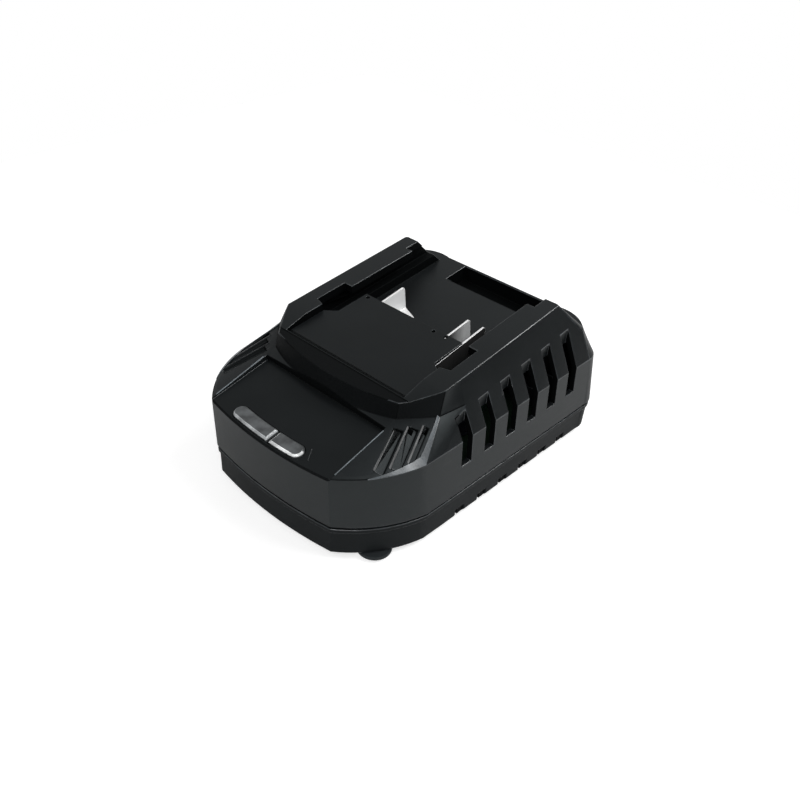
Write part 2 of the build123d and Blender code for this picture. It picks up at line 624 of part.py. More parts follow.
def dual_in_line(x, y, wide, long, legs):
    case = block(x - wide / 2, x + wide / 2, y - long / 2, y + long / 2, TOP + 0.6, TOP + 3.8)
    case = chamfer(case.edges().group_by(Axis.Z)[-1], 0.4)
    case -= Pos(x, y - long / 2 + 0.6, TOP + 3.8) * Cylinder(0.7, 0.6)
    pitch = long / legs
    for i in range(legs):
        for s in (-1, 1):
            ly = y - long / 2 + pitch * (i + 0.5)
            case += block(x + s * wide / 2, x + s * (wide / 2 + 0.6), ly - 0.3, ly + 0.3, TOP, TOP + 2.2)
    return case


def ring_choke():
    """Toroid on edge in a plastic cradle."""
    x, y, z = 14.0, 36.0, TOP + 11.5
    ring = Pos(x, y, z) * Rot(90, 0, 0) * (Cylinder(10, 8) - Cylinder(4.6, 9))
    cradle = block(x - 9, x + 9, y - 5, y + 5, TOP, TOP + 2.0) - \
        Pos(x, y, z) * Rot(90, 0, 0) * Cylinder(10.02, 9)
    return ring + cradle


def mains_fuse():
    """Glass tube fuse with two end caps in a pair of spring clips."""
    x, y, z = -30.0, 34.0, TOP + 4.6
    tube = Pos(x, y, z) * Rot(90, 0, 0) * Cylinder(2.5, 20)
    caps = [Pos(x, y + s * 7.4, z) * Rot(90, 0, 0) * Cylinder(2.75, 5.2) for s in (-1, 1)]
    clips = []
    for s in (-1, 1):
        yc = y + s * 7.4
        clip = block(x - 3.4, x + 3.4, yc - 2, yc + 2, TOP, TOP + 6.4)
        clip -= Pos(x, yc, z) * Rot(90, 0, 0) * Cylinder(2.7, 8)
        clip -= block(x - 2.0, x + 2.0, yc - 3, yc + 3, z, TOP + 8)
        clips.append(clip)
    return tube + caps + clips


def lamp_board():
    """Small board that hangs from two bosses under the panel and carries the lamps."""
    z0 = LAMP_BOARD_Z[0]
    board = block(-25.0, 21.5, 2.2, 10.0, z0, z0 + 1.0)
    for x in LAMP_POSTS:
        board -= post(x, LAMP_POST_BACK, z0 - 1, z0 + 2, 1.1)
    return panel_frame() * board


def status_lamps():
    """Three round indicator lamps under the two lenses."""
    lamps = []
    for x in LAMP_X:
        lamp = Cylinder(1.8, 0.8, align=LOW) + Pos(0, 0, 0.8) * Cone(1.5, 1.0, 3.6, align=LOW)
        lamps.append(panel_frame() * Pos(x, 4.1, LAMP_BOARD_Z[0] + 1.0) * lamp)
    return lamps


def lamp_screws():
    """Two screws that point up into the bosses."""
    return [panel_frame() * Pos(x, LAMP_POST_BACK, LAMP_BOARD_Z[0]) * Rot(180, 0, 0)
            * pan_screw(5.5, 0.9, 2.0, 1.3) for x in LAMP_POSTS]


def mains_header():
    """Two-way header that the cord's wires push onto."""
    x, y = 2.0, 46.0
    shell = block(x - 5.5, x + 5.5, y - 3.4, y + 3.4, TOP, TOP + 8.0)
    shell -= block(x - 4.6, x + 4.6, y - 2.5, y + 2.5, TOP + 1.2, TOP + 9)
    return shell + [post(x + s * 2.5, y, TOP + 1.0, TOP + 6.5, 0.6) for s in (-1, 1)]


def output_lead(x):
    """Stiff insulated lead from a blade's tail, slanting forward to the low-voltage end of the board."""
    start = (DOCK * Location((x, 15.5, -DECK - 9.7))).position
    along = Vector(x * 0.9, LEAD_LAND, TOP + 0.5) - start
    return Plane(origin=start, z_dir=along) * Cylinder(LEAD_R, along.length, align=LOW)


# ---------------------------------------------------------------- build every piece
def build():
    keep("upper_housing", upper_housing())
    keep("lower_housing", lower_housing())
    keep("terminal_tower", terminal_tower())
    for name in BLADE_X:
        keep(name, blade(name))
    for name, span in LENS_SPAN.items():
        keep(name, lens_solid(*span, -7.0, LENS_PROUD, edge=LENS_EDGE))
    keep("status_lamps", Compound(children=status_lamps()))
    keep("lamp_board", lamp_board())
    keep("lamp_board_screws", Compound(children=lamp_screws()))
    keep("cord_gland", gland())
    keep("case_screws", Compound(children=[
        Pos(x, y, 11.5) * Rot(180, 0, 0) * pan_screw(15.0, 1.3, 3.0, 2.2) for x, y in four(CASE_SCREWS)]))
    keep("rubber_feet", Compound(children=[foot(x, y) for x, y in four(FEET)]))
    keep("main_board", main_board())
    keep("board_screws", Compound(children=[
        Pos(x, y, TOP) * pan_screw(5.2, 1.1, 2.6, 1.8) for x, y in BOARD_POSTS]))
    keep("transformer_core", transformer_core())
    keep("transformer_winding", transformer_winding())
    keep("bulk_capacitor", can_capacitor(21.0, 17.0, 8.0, 26.0))
    keep("output_capacitors", Compound(children=[
        can_capacitor(x, -30.0, 5.0, 20.0) for x in (-8.0, 5.0)]))
    for name, height in (("primary_heat_sink", 26.0), ("secondary_heat_sink", 24.0)):
        keep(name, heat_sink(name, height))
    keep("switching_transistor", power_package(-33.8, 15.0, 1))
    keep("rectifier_diode", power_package(33.8, -21.0, -1))
    keep("mains_choke", ring_choke())
    keep("suppression_capacitor", suppression_capacitor())
    keep("mains_fuse", mains_fuse())
    keep("surge_disc", surge_disc())
    keep("control_chip", dual_in_line(20.0, -33.0, 7.0, 10.0, 4))
    keep("opto_coupler", dual_in_line(30.0, -5.0, 6.4, 5.0, 2))
    keep("mains_header", mains_header())
    keep("output_leads", Compound(children=[output_lead(x) for x in BLADE_X.values()]))


def suppression_capacitor():
    """Boxed film capacitor on two wires."""
    box = block(-20.0, -2.0, 30.0, 38.5, TOP + 0.6, TOP + 15)
    box = fillet(box.edges().filter_by(Axis.Z), 1.0)
    return box + [post(x, 34.2, TOP, TOP + 1, 0.4) for x in (-18.0, -4.0)]


def surge_disc():
    """Coated disc on two wires."""
    disc = chamfer(Cylinder(5.6, 4.0).edges().filter_by(GeomType.CIRCLE), 0.8)
    disc = Pos(-16.0, 44.5, TOP + 7.5) * Rot(90, 0, 0) * disc
    return disc + [post(-16.0 + s * 2.5, 44.5, TOP, TOP + 4.0, 0.4) for s in (-1, 1)]


build()
os.makedirs("parts", exist_ok=True)
for name, shape in PARTS.items():
    placed = [Pos(0, CENTRE_SHIFT, 0) * solid for solid in shape.solids()]
    export_step(Compound(children=placed), f"parts/{name}.step")
print(len(PARTS), "nodes")
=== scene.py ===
# %% [markdown]
# # A charger for slide-in tool batteries
# The real charger is two moulded housings of near-black plastic, split by a shadow gap near the
# bench. On top two tilted rails take the battery, and between them stands a tower with three plated
# blades. Two frosted lenses sit in the panel at the front. The solids arrive with exact shapes and
# hard edges. This lesson gives them what a moulding tool gives: small rounded edges, a spark-eroded
# grain, and a finish for each kind of part.

# %% Load the solids
import math

import bmesh
import bpy
from mathutils import Matrix, Vector
from mathutils.bvhtree import BVHTree


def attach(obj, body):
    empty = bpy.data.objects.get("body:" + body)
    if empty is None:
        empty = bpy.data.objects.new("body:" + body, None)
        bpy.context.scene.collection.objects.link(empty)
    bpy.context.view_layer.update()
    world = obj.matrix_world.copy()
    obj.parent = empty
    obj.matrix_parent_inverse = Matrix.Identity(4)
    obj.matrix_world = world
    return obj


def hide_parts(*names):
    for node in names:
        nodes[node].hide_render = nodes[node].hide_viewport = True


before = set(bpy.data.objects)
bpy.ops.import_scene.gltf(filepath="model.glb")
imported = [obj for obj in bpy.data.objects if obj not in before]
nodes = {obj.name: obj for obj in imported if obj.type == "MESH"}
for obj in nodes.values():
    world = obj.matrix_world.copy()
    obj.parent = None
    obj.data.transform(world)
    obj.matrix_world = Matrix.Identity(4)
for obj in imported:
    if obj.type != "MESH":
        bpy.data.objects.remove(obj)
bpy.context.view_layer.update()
MM = 0.001

# %% [markdown]
# ## The camera
# A small object on a bench is usually looked at from about arm's length. Here the distance is only
# some 30 cm, so the rails run together clearly towards the rear. The camera is set from its
# direction, its distance and a slight roll, which is easier to adjust by hand than three angles.

# %% Place the camera
AZIMUTH, ELEVATION, ROLL = math.radians(39.2), math.radians(36.55), math.radians(4.46)
LOOK_AT = Vector((21.58, -24.20, 44.0)) * MM
DISTANCE = 304.7 * MM
FOCAL_PIXELS, IMAGE_PIXELS, SENSOR = 839.18, 800.0, 36.0


def camera_axes():
    """Right, up and backward directions of the camera in the world."""
    back = Vector((math.sin(AZIMUTH) * math.cos(ELEVATION),
                   -math.cos(AZIMUTH) * math.cos(ELEVATION), math.sin(ELEVATION)))
    right = Vector((0, 0, 1)).cross(back).normalized()
    up = back.cross(right)
    return (math.cos(ROLL) * right + math.sin(ROLL) * up,
            math.cos(ROLL) * up - math.sin(ROLL) * right, back)


right, up, back = camera_axes()
lens = bpy.data.cameras.new("bench_camera")
lens.sensor_width = SENSOR
lens.lens = FOCAL_PIXELS * SENSOR / IMAGE_PIXELS
lens.clip_start = 0.01
camera = bpy.data.objects.new("bench_camera", lens)
turn = Matrix((right, up, back)).transposed().to_4x4()
camera.matrix_world = Matrix.Translation(LOOK_AT + back * DISTANCE) @ turn
bpy.context.scene.collection.objects.link(camera)
bpy.context.scene.camera = camera
print("focal length", round(lens.lens, 2), "mm")

# %% [markdown]
# ## Small helpers for materials
# Every finish below is a Principled shader with a little procedural texture. The textures read
# Object coordinates, which are metres here, so a scale of 1000 makes features of one millimetre.

# %% Shader helpers


class Finish:
    """A new material with its Principled shader, and short ways to add texture nodes."""

    def __init__(self, name, color, roughness, metallic=0.0, specular=0.5):
        self.material = bpy.data.materials.new(name)
        self.material.use_nodes = True
        self.tree = self.material.node_tree
        self.shader = self.tree.nodes["Principled BSDF"]
        self.set("Base Color", (*color, 1.0))
        self.set("Roughness", roughness)
        self.set("Metallic", metallic)
        self.set("Specular IOR Level", specular)
        self.coords = self.tree.nodes.new("ShaderNodeTexCoord")

    def set(self, socket, value):
        """Sets one of the shader's inputs."""
        self.shader.inputs[socket].default_value = value

    def link(self, source, socket):
        """Links another node's socket to one of the shader's inputs."""
        self.tree.links.new(source, self.shader.inputs[socket])

    def feed(self, socket, value):
        """Gives an input a value, or links it when the value is another node's socket."""
        if isinstance(value, bpy.types.NodeSocket):
            self.tree.links.new(value, socket)
        else:
            socket.default_value = value

    def node(self, kind, **inputs):
        """Adds a node. Inputs are values or other nodes' sockets; underscores are spaces."""
        made = self.tree.nodes.new(kind)
        for key, value in inputs.items():
            self.feed(made.inputs[key.replace("_", " ")], value)
        return made

    def math(self, operation, first, second):
        """Calculates with two values or sockets."""
        made = self.tree.nodes.new("ShaderNodeMath")
        made.operation = operation
        self.feed(made.inputs[0], first)
        self.feed(made.inputs[1], second)
        return made.outputs[0]

    def noise(self, scale, detail=3.0, stretch=(1, 1, 1)):
        """Noise in object space, stretched along the axes where it is brushed."""
        place = self.node("ShaderNodeMapping", Vector=self.coords.outputs["Object"],
                          Scale=stretch)
        return self.node("ShaderNodeTexNoise", Vector=place.outputs["Vector"], Scale=scale,
                         Detail=detail).outputs["Fac"]

    def between(self, factor, low, high, start=0.3, end=0.7):
        """A number that runs from low to high as the factor runs from start to end."""
        span = self.tree.nodes.new("ShaderNodeMapRange")
        for socket, value in zip(span.inputs[1:5], (start, end, low, high)):
            socket.default_value = value
        self.tree.links.new(factor, span.inputs[0])
        return span.outputs[0]

    def mottle(self, factor, dark, light, start=0.3, end=0.7):
        """Base colour that wanders between two near shades."""
        ramp = self.tree.nodes.new("ShaderNodeValToRGB")
        ramp.color_ramp.elements[0].position = start
        ramp.color_ramp.elements[1].position = end
        ramp.color_ramp.elements[0].color = (*dark, 1)
        ramp.color_ramp.elements[1].color = (*light, 1)
        self.tree.links.new(factor, ramp.inputs[0])
        self.link(ramp.outputs[0], "Base Color")

    def bump(self, height, distance, strength):
        """Raises the surface by up to the distance (m) where the height is 1."""
        relief = self.node("ShaderNodeBump", Height=height, Distance=distance, Strength=strength)
        self.link(relief.outputs["Normal"], "Normal")


COOL_CAST = (0.86, 1.0, 1.1)


def shade(value):
    """A dark grey with the faintly blue cast of carbon-filled plastic."""
    return tuple(value * part for part in COOL_CAST)


# %% [markdown]
# ## Moulded plastic
# The tool that moulds such a housing is spark-eroded, which leaves a fine matt grain on every face.
# Fine noise in the bump imitates it. A broad noise makes colour and roughness wander, as handling
# and flow marks do, and a thin stretched one adds the hairline scuffs that a battery leaves as it
# slides in. Rounded edges get a paler and smoother version that comes and goes along the edge:
# partly wear, where the grain is rubbed off first, and partly painted highlight. Noise scales are
# per metre, grain is in millimetres.

# %% Plastic finishes
GRAIN_SCALE, FLOW_SCALE, SCUFF_SCALE, WEAR_SCALE = 2400.0, 28.0, 900.0, 190.0
SCUFF_ALONG = (1, 0.03, 1)        # scuffs are long in the direction in which a battery slides
EDGE_GRAIN_SCALE, EDGE_GRAIN = 2600.0, 0.02


def moulded(name, value, roughness, grain, specular=0.4):
    """Carbon-black moulded plastic with spark-eroded grain of the given depth in millimetres."""
    f = Finish(name, shade(value), roughness, specular=specular)
    f.set("Specular Tint", (0.88, 0.98, 1.0, 1.0))
    broad = f.noise(FLOW_SCALE, 4.0)
    scuffs = f.between(f.noise(SCUFF_SCALE, 3.0, SCUFF_ALONG), 0.0, 0.05, 0.60, 0.72)
    f.mottle(broad, shade(value * 0.8), shade(value * 1.25))
    satin = f.between(broad, roughness - 0.03, roughness + 0.05)
    f.link(f.math("SUBTRACT", satin, scuffs), "Roughness")
    f.bump(f.noise(GRAIN_SCALE, 2.0), grain * MM, 0.5)
    return f.material


def worn_and_highlit_edge(name, dark, pale, roughness):
    """The same plastic, paler in patches and smoother: partly polish from touching, partly painted
    highlight.
    """
    f = Finish(name, shade(dark), roughness, specular=0.6)
    patches = f.noise(WEAR_SCALE, 4.0)
    f.mottle(patches, shade(dark), shade(pale), 0.38, 0.68)
    f.link(f.between(patches, roughness + 0.05, roughness - 0.06), "Roughness")
    f.bump(f.noise(EDGE_GRAIN_SCALE, 2.0), EDGE_GRAIN * MM, 0.3)
    return f.material


housing_plastic = moulded("housing_plastic", 0.0060, 0.40, 0.05)
panel_plastic = moulded("panel_plastic", 0.0052, 0.34, 0.02, specular=0.33)
# Coarser grain, and darker as painted shade: the dock's front and rim, creases, seams, groove walls
# and the rolled lip.
coarse_shaded_plastic = moulded("coarse_shaded_plastic", 0.0028, 0.50, 0.08, specular=0.10)
# Nearly black, as painted shade: slots, latch pit, vent cheeks, gaps and the plates behind the
# notches.
painted_shade_plastic = moulded("painted_shade_plastic", 0.0016, 0.60, 0.08, specular=0.06)
# Pale rims of the grooved corners, a painted highlight.
rim_highlight_plastic = worn_and_highlit_edge("rim_highlight_plastic", 0.060, 0.120, 0.26)
# Paler ribs beside the grooves, a painted highlight; the pale hairline on the panel uses it too.
rib_highlight_plastic = worn_and_highlit_edge("rib_highlight_plastic", 0.009, 0.022, 0.37)
# Pale borders of the panel, a painted highlight.
border_highlight_plastic = worn_and_highlit_edge("border_highlight_plastic", 0.10, 0.17, 0.24)
# Coarser grain, and lighter as painted light, for the grooved corners.
corner_lit_plastic = moulded("corner_lit_plastic", 0.0085, 0.44, 0.10, specular=0.26)
base_plastic = moulded("base_plastic", 0.0072, 0.47, 0.05, specular=0.12)
tower_plastic = moulded("tower_plastic", 0.0054, 0.36, 0.03, specular=0.35)
# Paler edges of the housings and the tower: partly wear, partly painted highlight.
housing_edges = worn_and_highlit_edge("housing_edges", 0.018, 0.050, 0.22)
black_rubber = moulded("black_rubber", 0.0170, 0.62, 0.08, specular=0.3)
print("materials so far, with the solids' own:", len(bpy.data.materials))

# %% [markdown]
# ## Lenses and metal
# The lenses are milky plastic, frosted from behind, so light goes in and comes out softened. A
# little transmission under a clear coat gives that. Their sloping edges are paler, a painted
# highlight. The blades are stamped and tin plated: satin, with faint lines along the stamping
# direction and pale on the cut edges. Painted shade darkens them the deeper they stand between
# tower and rail.

# %% Lens and metal finishes
CLOUD_SCALE, FROST_SCALE, FROST_DEPTH = 260.0, 900.0, 0.06
LINE_SCALE, LINE_DEPTH, TARNISH_SCALE = 2400.0, 0.01, 60.0


def frosted(name, color, roughness):
    """Milky plastic that lets a little light in, under a clear coat."""
    f = Finish(name, color, roughness)
    f.set("Transmission Weight", 0.12)
    f.set("Coat Weight", 0.4)
    f.set("Coat Roughness", 0.12)
    cloud = f.noise(CLOUD_SCALE, 4.0)
    f.mottle(cloud, tuple(0.62 * c for c in color), tuple(1.30 * c for c in color), 0.36, 0.64)
    f.bump(f.noise(FROST_SCALE, 2.0), FROST_DEPTH * MM, 0.5)
    return f.material


def plated(name, color, roughness, stretch=(1, 0.04, 1), metallic=1.0, shade_span=None):
    """Plated or bare metal; the last argument gives the two places along y (mm) over which painted
    shade gives way to the full colour.
    """
    f = Finish(name, color, roughness, metallic=metallic)
    lines = f.noise(LINE_SCALE, 2.0, stretch)
    f.link(f.between(lines, roughness - 0.05, roughness + 0.08), "Roughness")
    # Painted shade: dark before the first place along y, full colour past the second.
    if shade_span:
        place = f.node("ShaderNodeSeparateXYZ", Vector=f.coords.outputs["Object"])
        brighter = f.between(place.outputs["Y"], 0, 1, shade_span[0] * MM, shade_span[1] * MM)
        f.mottle(brighter, tuple(0.12 * c for c in color), color, 0, 1)
    else:
        f.mottle(f.noise(TARNISH_SCALE), tuple(0.9 * c for c in color), color)
    f.bump(lines, LINE_DEPTH * MM, 0.25)
    return f.material


lens_frosted = frosted("lens_frosted", (0.085, 0.091, 0.094), 0.36)
# The lenses' paler slopes are painted highlight, paler still on the short lens.
lens_slope_highlight = frosted("lens_slope_highlight", (0.46, 0.48, 0.49), 0.24)
short_lens_slope_highlight = frosted("short_lens_slope_highlight", (0.86, 0.88, 0.88), 0.20)
tin = plated("tin", (0.93, 0.94, 0.94), 0.50, metallic=0.1)
# Painted shade: the middle blade darkens towards the tower, the right one is dark all over.
tin_shaded_to_tower = plated("tin_shaded_to_tower", (0.85, 0.86, 0.86), 0.40, metallic=0.5, shade_span=(8, 17))
tin_painted_shade = plated("tin_painted_shade", (0.05, 0.05, 0.05), 0.45, metallic=0.6)
tin_edge = plated("tin_edge", (0.95, 0.95, 0.95), 0.30, metallic=0.2)
zinc = plated("zinc", (0.56, 0.57, 0.58), 0.32, (1, 1, 1))
aluminium = plated("aluminium", (0.50, 0.51, 0.52), 0.38)
copper = plated("copper", (0.42, 0.16, 0.07), 0.30, (1, 1, 1))

# %% [markdown]
# ## Parts inside
# Through the vents one sees a little of the electronics. A coated part is one helper: a colour that
# wanders a little, a gloss, and a faint orange-peel bump.

# %% Finishes of the electronics
SPREAD, SPREAD_SCALE = 0.12, 300.0        # how far a coating's colour wanders, and how fast
PEEL_DEPTH, PEEL_SCALE = 0.03, 1200.0


def coated(name, color, roughness):
    """A lacquered, taped or cast part of the electronics."""
    f = Finish(name, color, roughness, specular=0.35)
    f.mottle(f.noise(SPREAD_SCALE), tuple(c * (1 - SPREAD) for c in color),
             tuple(c * (1 + SPREAD) for c in color))
    f.bump(f.noise(PEEL_SCALE, 2.0), PEEL_DEPTH * MM, 0.4)
    return f.material


INSIDE = [
    ("solder_mask", (0.005, 0.013, 0.007), 0.42, ("main_board", "lamp_board")),
    ("ferrite", (0.020, 0.020, 0.020), 0.55, ("transformer_core",)),
    ("amber_tape", (0.120, 0.070, 0.012), 0.32, ("transformer_winding",)),
    ("grey_film_case", (0.045, 0.045, 0.048), 0.40, ("suppression_capacitor",)),
    ("dark_sleeve", (0.008, 0.009, 0.014), 0.34, ("bulk_capacitor",)),
    ("black_sleeve", (0.012, 0.012, 0.015), 0.28, ("output_capacitors",)),
    ("epoxy_black", (0.012, 0.012, 0.013), 0.45,
     ("switching_transistor", "rectifier_diode", "control_chip")),
    ("epoxy_white", (0.30, 0.30, 0.28), 0.42, ("opto_coupler", "mains_header")),
    ("green_coating", (0.008, 0.022, 0.014), 0.40, ("mains_choke",)),
    ("blue_coating", (0.012, 0.035, 0.12), 0.33, ("surge_disc",)),
    ("clear_resin", (0.45, 0.50, 0.44), 0.15, ("status_lamps",)),
    ("fuse_glass", (0.30, 0.31, 0.31), 0.10, ("mains_fuse",)),
    ("lead_insulation", (0.10, 0.010, 0.010), 0.42, ("output_leads",)),
]


def dress(names, material):
    """Gives CAD nodes that keep their own mesh a finish."""
    for name in names:
        nodes[name].data.materials.clear()
        nodes[name].data.materials.append(material)


for title, color, roughness, users in INSIDE:
    dress(users, coated(title, color, roughness))
SCREWS = ("lamp_board_screws", "board_screws", "case_screws")
HEAT_SINKS = ("primary_heat_sink", "secondary_heat_sink")
dress(SCREWS, zinc)
dress(HEAT_SINKS, aluminium)
coated_count = sum(len(users) for *_, users in INSIDE)
print("finished inside:", coated_count + len(SCREWS) + len(HEAT_SINKS), "nodes")

# %% [markdown]
# ## Rounded edges
# No moulded edge is sharp, and it is the small rounding that catches the light and draws the bright
# lines along rails and rims. A bevel node in the material would only shade it, so here it is real
# geometry: each outer piece is copied, its coplanar triangles are dissolved into whole faces, and
# its sharp edges are bevelled. They are marked with a weight first, so that a seam between two
# slivers stays as it is. The bevel's own faces take the paler edge finish, which adds painted
# highlight to the bright lines, and weighted normals keep the large faces flat.

# %% Helpers: new pieces, and modifiers made permanent


def add_piece(name, mesh):
    """A new object with this mesh in the scene."""
    piece = bpy.data.objects.new(name, mesh)
    bpy.context.scene.collection.objects.link(piece)
    return piece


def mesh_from(bm, name, *finishes):
    """Turns a bmesh into a mesh with these finishes."""
    mesh = bpy.data.meshes.new(name)
    bm.to_mesh(mesh)
    bm.free()
    for finish in finishes:
        mesh.materials.append(finish)
    return mesh


def settle(piece):
    """Gives a piece the mesh that its modifiers make, and removes them."""
    bpy.context.view_layer.update()
    graph = bpy.context.evaluated_depsgraph_get()
    made = bpy.data.meshes.new_from_object(piece.evaluated_get(graph),
                                           preserve_all_data_layers=True, depsgraph=graph)
    piece.modifiers.clear()
    piece.data = made
    return made


def surface_of(piece):
    """A tree for casting rays at a piece's mesh."""
    return BVHTree.FromPolygons([vert.co for vert in piece.data.vertices],
                                [list(face.vertices) for face in piece.data.polygons])


# %% Helpers: a clean copy of a solid, and its sharp edges marked
DOUBLES, DEGENERATE = 0.004 * MM, 0.002 * MM      # lengths under which points are one
FLAT_ANGLE = math.radians(0.15)                   # faces that meet flatter than this are one
SLIVER = 0.08 * MM * MM   # a face smaller than this is a seam between two others, not a form


def clean_copy(node):
    """The solid's mesh with doubles merged and flat faces made whole."""
    bm = bmesh.new()
    bm.from_mesh(nodes[node].data)
    bmesh.ops.remove_doubles(bm, verts=bm.verts, dist=DOUBLES)
    bmesh.ops.dissolve_degenerate(bm, edges=bm.edges, dist=DEGENERATE)
    bmesh.ops.dissolve_limit(bm, angle_limit=FLAT_ANGLE, verts=bm.verts, edges=bm.edges)
    return bm


def mark_sharp(bm, angle):
    """Gives every edge that is sharper than the angle the full bevel weight."""
    weight = bm.edges.layers.float.new("bevel_weight_edge")
    sharp = [e for e in bm.edges
             if len(e.link_faces) == 2 and e.calc_face_angle(0) > math.radians(angle)
             and min(face.calc_area() for face in e.link_faces) > SLIVER]
    for edge in sharp:
        edge[weight] = 1.0
    return len(sharp)


# %% Helpers: the bevel, and a groove cut beforehand
NORMAL_WEIGHT = 60        # how strongly large faces hold their normals flat


def finish_edges(piece, radius, segments=2, by_weight=False):
    """Bevels a piece (mm), evens its normals and keeps the result as a plain mesh."""
    bevel = piece.modifiers.new("rounding", "BEVEL")
    bevel.width = radius * MM
    bevel.segments = segments
    bevel.limit_method = "WEIGHT" if by_weight else "ANGLE"
    bevel.material = 1
    bevel.use_clamp_overlap = False
    flat = piece.modifiers.new("flat_faces", "WEIGHTED_NORMAL")
    flat.weight = NORMAL_WEIGHT
    flat.keep_sharp = False
    return settle(piece)


def cut_groove(piece, corners):
    """Cuts the box with these eight corners (mm) out of a piece."""
    mesh = bpy.data.meshes.new("groove")
    sides = [(0, 1, 3, 2), (4, 6, 7, 5), (0, 4, 5, 1), (2, 3, 7, 6), (0, 2, 6, 4), (1, 5, 7, 3)]
    mesh.from_pydata([corner * MM for corner in corners], [], sides)
    cutter = add_piece("groove", mesh)
    cut = piece.modifiers.new("groove", "BOOLEAN")
    cut.operation = "DIFFERENCE"
    cut.object = cutter
    made = settle(piece)
    bpy.data.objects.remove(cutter)
    return made


# %% Helper: round a copy's edges and let it stand for the solid


def rounded(node, radius, finishes, angle=24.0, segments=2, zone=None, groove=None):
    """Rounds a copy's sharp edges by radius (mm). finishes are for faces, edges and zones."""
    bm = clean_copy(node)
    mesh = bpy.data.meshes.new(node + "_dressed")
    piece = add_piece(node + "_dressed", mesh)
    if groove:
        bm.to_mesh(mesh)
        bm.clear()
        mesh = cut_groove(piece, groove)
        bm.from_mesh(mesh)
    marked = mark_sharp(bm, angle)
    bm.to_mesh(mesh)
    bm.free()
    for material in finishes:
        mesh.materials.append(material)
    mesh.shade_smooth()
    made = finish_edges(piece, radius, segments, by_weight=True)
    if zone:
        for face in made.polygons:
            face.material_index = zone(face.center / MM, face.normal, face.material_index)
    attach(piece, "root")
    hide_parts(node)
    print(node, "edges rounded:", marked, "faces:", len(made.polygons))
    return piece


# %% [markdown]
# ## The upper housing
# One moulding, six finishes: the body; its rounded edges, paler, partly with painted highlight; the
# sunken panel, which the tool polishes a little finer; the dock front and the creases, coarser and
# darkened with painted shade; the deep places, nearly black with painted shade; and the grooved
# corners, coarser and lightened with painted light. One could pick the faces by hand, but a change
# of shape would undo that. So a face's finish is found by where it is and which way it faces, from
# a table of zones that is read from the top. The dock is tilted, so its zones are told in the
# dock's own coordinates, along it and above the rails' top.

# %% The dock's and the corners' own measures
PANEL_NORMAL = Vector((0, -0.196, 0.981))
DOCK_TILT = math.radians(5.7)
DOCK_ORIGIN = Vector((0, -22.5, 56.9))
RIDGE_TOP, RIDGE_FOOT = Vector((41.4, -26.3, 48.5)), Vector((48.4, -40.4, 39.2))


def in_dock(point):
    """Distance along the tilted dock and height above its rails' top (mm)."""
    y, z = point.y - DOCK_ORIGIN.y, point.z - DOCK_ORIGIN.z
    along = y * math.cos(DOCK_TILT) + z * math.sin(DOCK_TILT)
    return along, z * math.cos(DOCK_TILT) - y * math.sin(DOCK_TILT)


def from_dock(x, along, above):
    """A point of the tilted dock in the charger's frame (mm)."""
    return DOCK_ORIGIN + Vector((x, along * math.cos(DOCK_TILT) - above * math.sin(DOCK_TILT),
                                 along * math.sin(DOCK_TILT) + above * math.cos(DOCK_TILT)))


def measures(center, normal):
    """What the zones are told by: places in mm, and parts of the face's normal."""
    along, above = in_dock(center)
    down_ridge = (RIDGE_TOP.y - center.y) / (RIDGE_TOP.y - RIDGE_FOOT.y)
    ridge_x = RIDGE_TOP.x + (RIDGE_FOOT.x - RIDGE_TOP.x) * max(0, min(1, down_ridge))
    return {
        "x": center.x, "side": abs(center.x), "y": center.y, "z": center.z,
        "along": along, "above": above,
        "from_ridge": ridge_x - abs(center.x),            # inwards from the corner's ridge
        "up": normal.z, "level": abs(normal.z),           # 1 where the face lies level
        "back": normal.y, "lengthwise": abs(normal.y),    # 1 where it faces along the charger
        "panel": normal.dot(PANEL_NORMAL),                # 1 where it faces as the panel does
    }


# %% Zones of the upper housing
# Finish numbers: the second is the paler edge finish, partly painted highlight; the fourth and
# fifth are darkened with painted shade; the sixth is lightened with painted light.
BODY, EDGE, PANEL, COARSE_SHADED, SHADED, CORNER_LIT = range(6)
ANY = 999                         # an open end of a range
DECK, TROUGH_ROOF, TROUGH_HALF = -13.2, -0.9, 35

EDGE_ZONES = [                    # for the rounded edges only
    # inner edges of the lips' front slope keep the paler edge finish, partly painted highlight
    (EDGE, {"side": (28, 32), "along": (-ANY, 1), "above": (-6, ANY), "up": (0.4, ANY)}),
    # upright corners of the front wall take the body's finish, and the crease above it painted
    # shade
    (BODY, {"y": (-ANY, -40), "z": (-ANY, 38.5), "level": (-ANY, 0.3)}),
    (COARSE_SHADED, {"y": (-ANY, -58), "z": (37, 41)}),
    # corners of the dock's front, nearly black with painted shade
    (SHADED, {"side": (20, 48), "y": (-ANY, -20), "z": (41, 53.5), "level": (-ANY, 0.7)}),
    # seams between deck and slots, darkened with painted shade
    (COARSE_SHADED, {"side": (-ANY, TROUGH_HALF), "along": (-ANY, 74), "above": (-ANY, DECK)}),
    # step behind the panel, darkened with painted shade
    (COARSE_SHADED, {"side": (-ANY, 31), "y": (-46, -36), "z": (-ANY, 50)}),
]
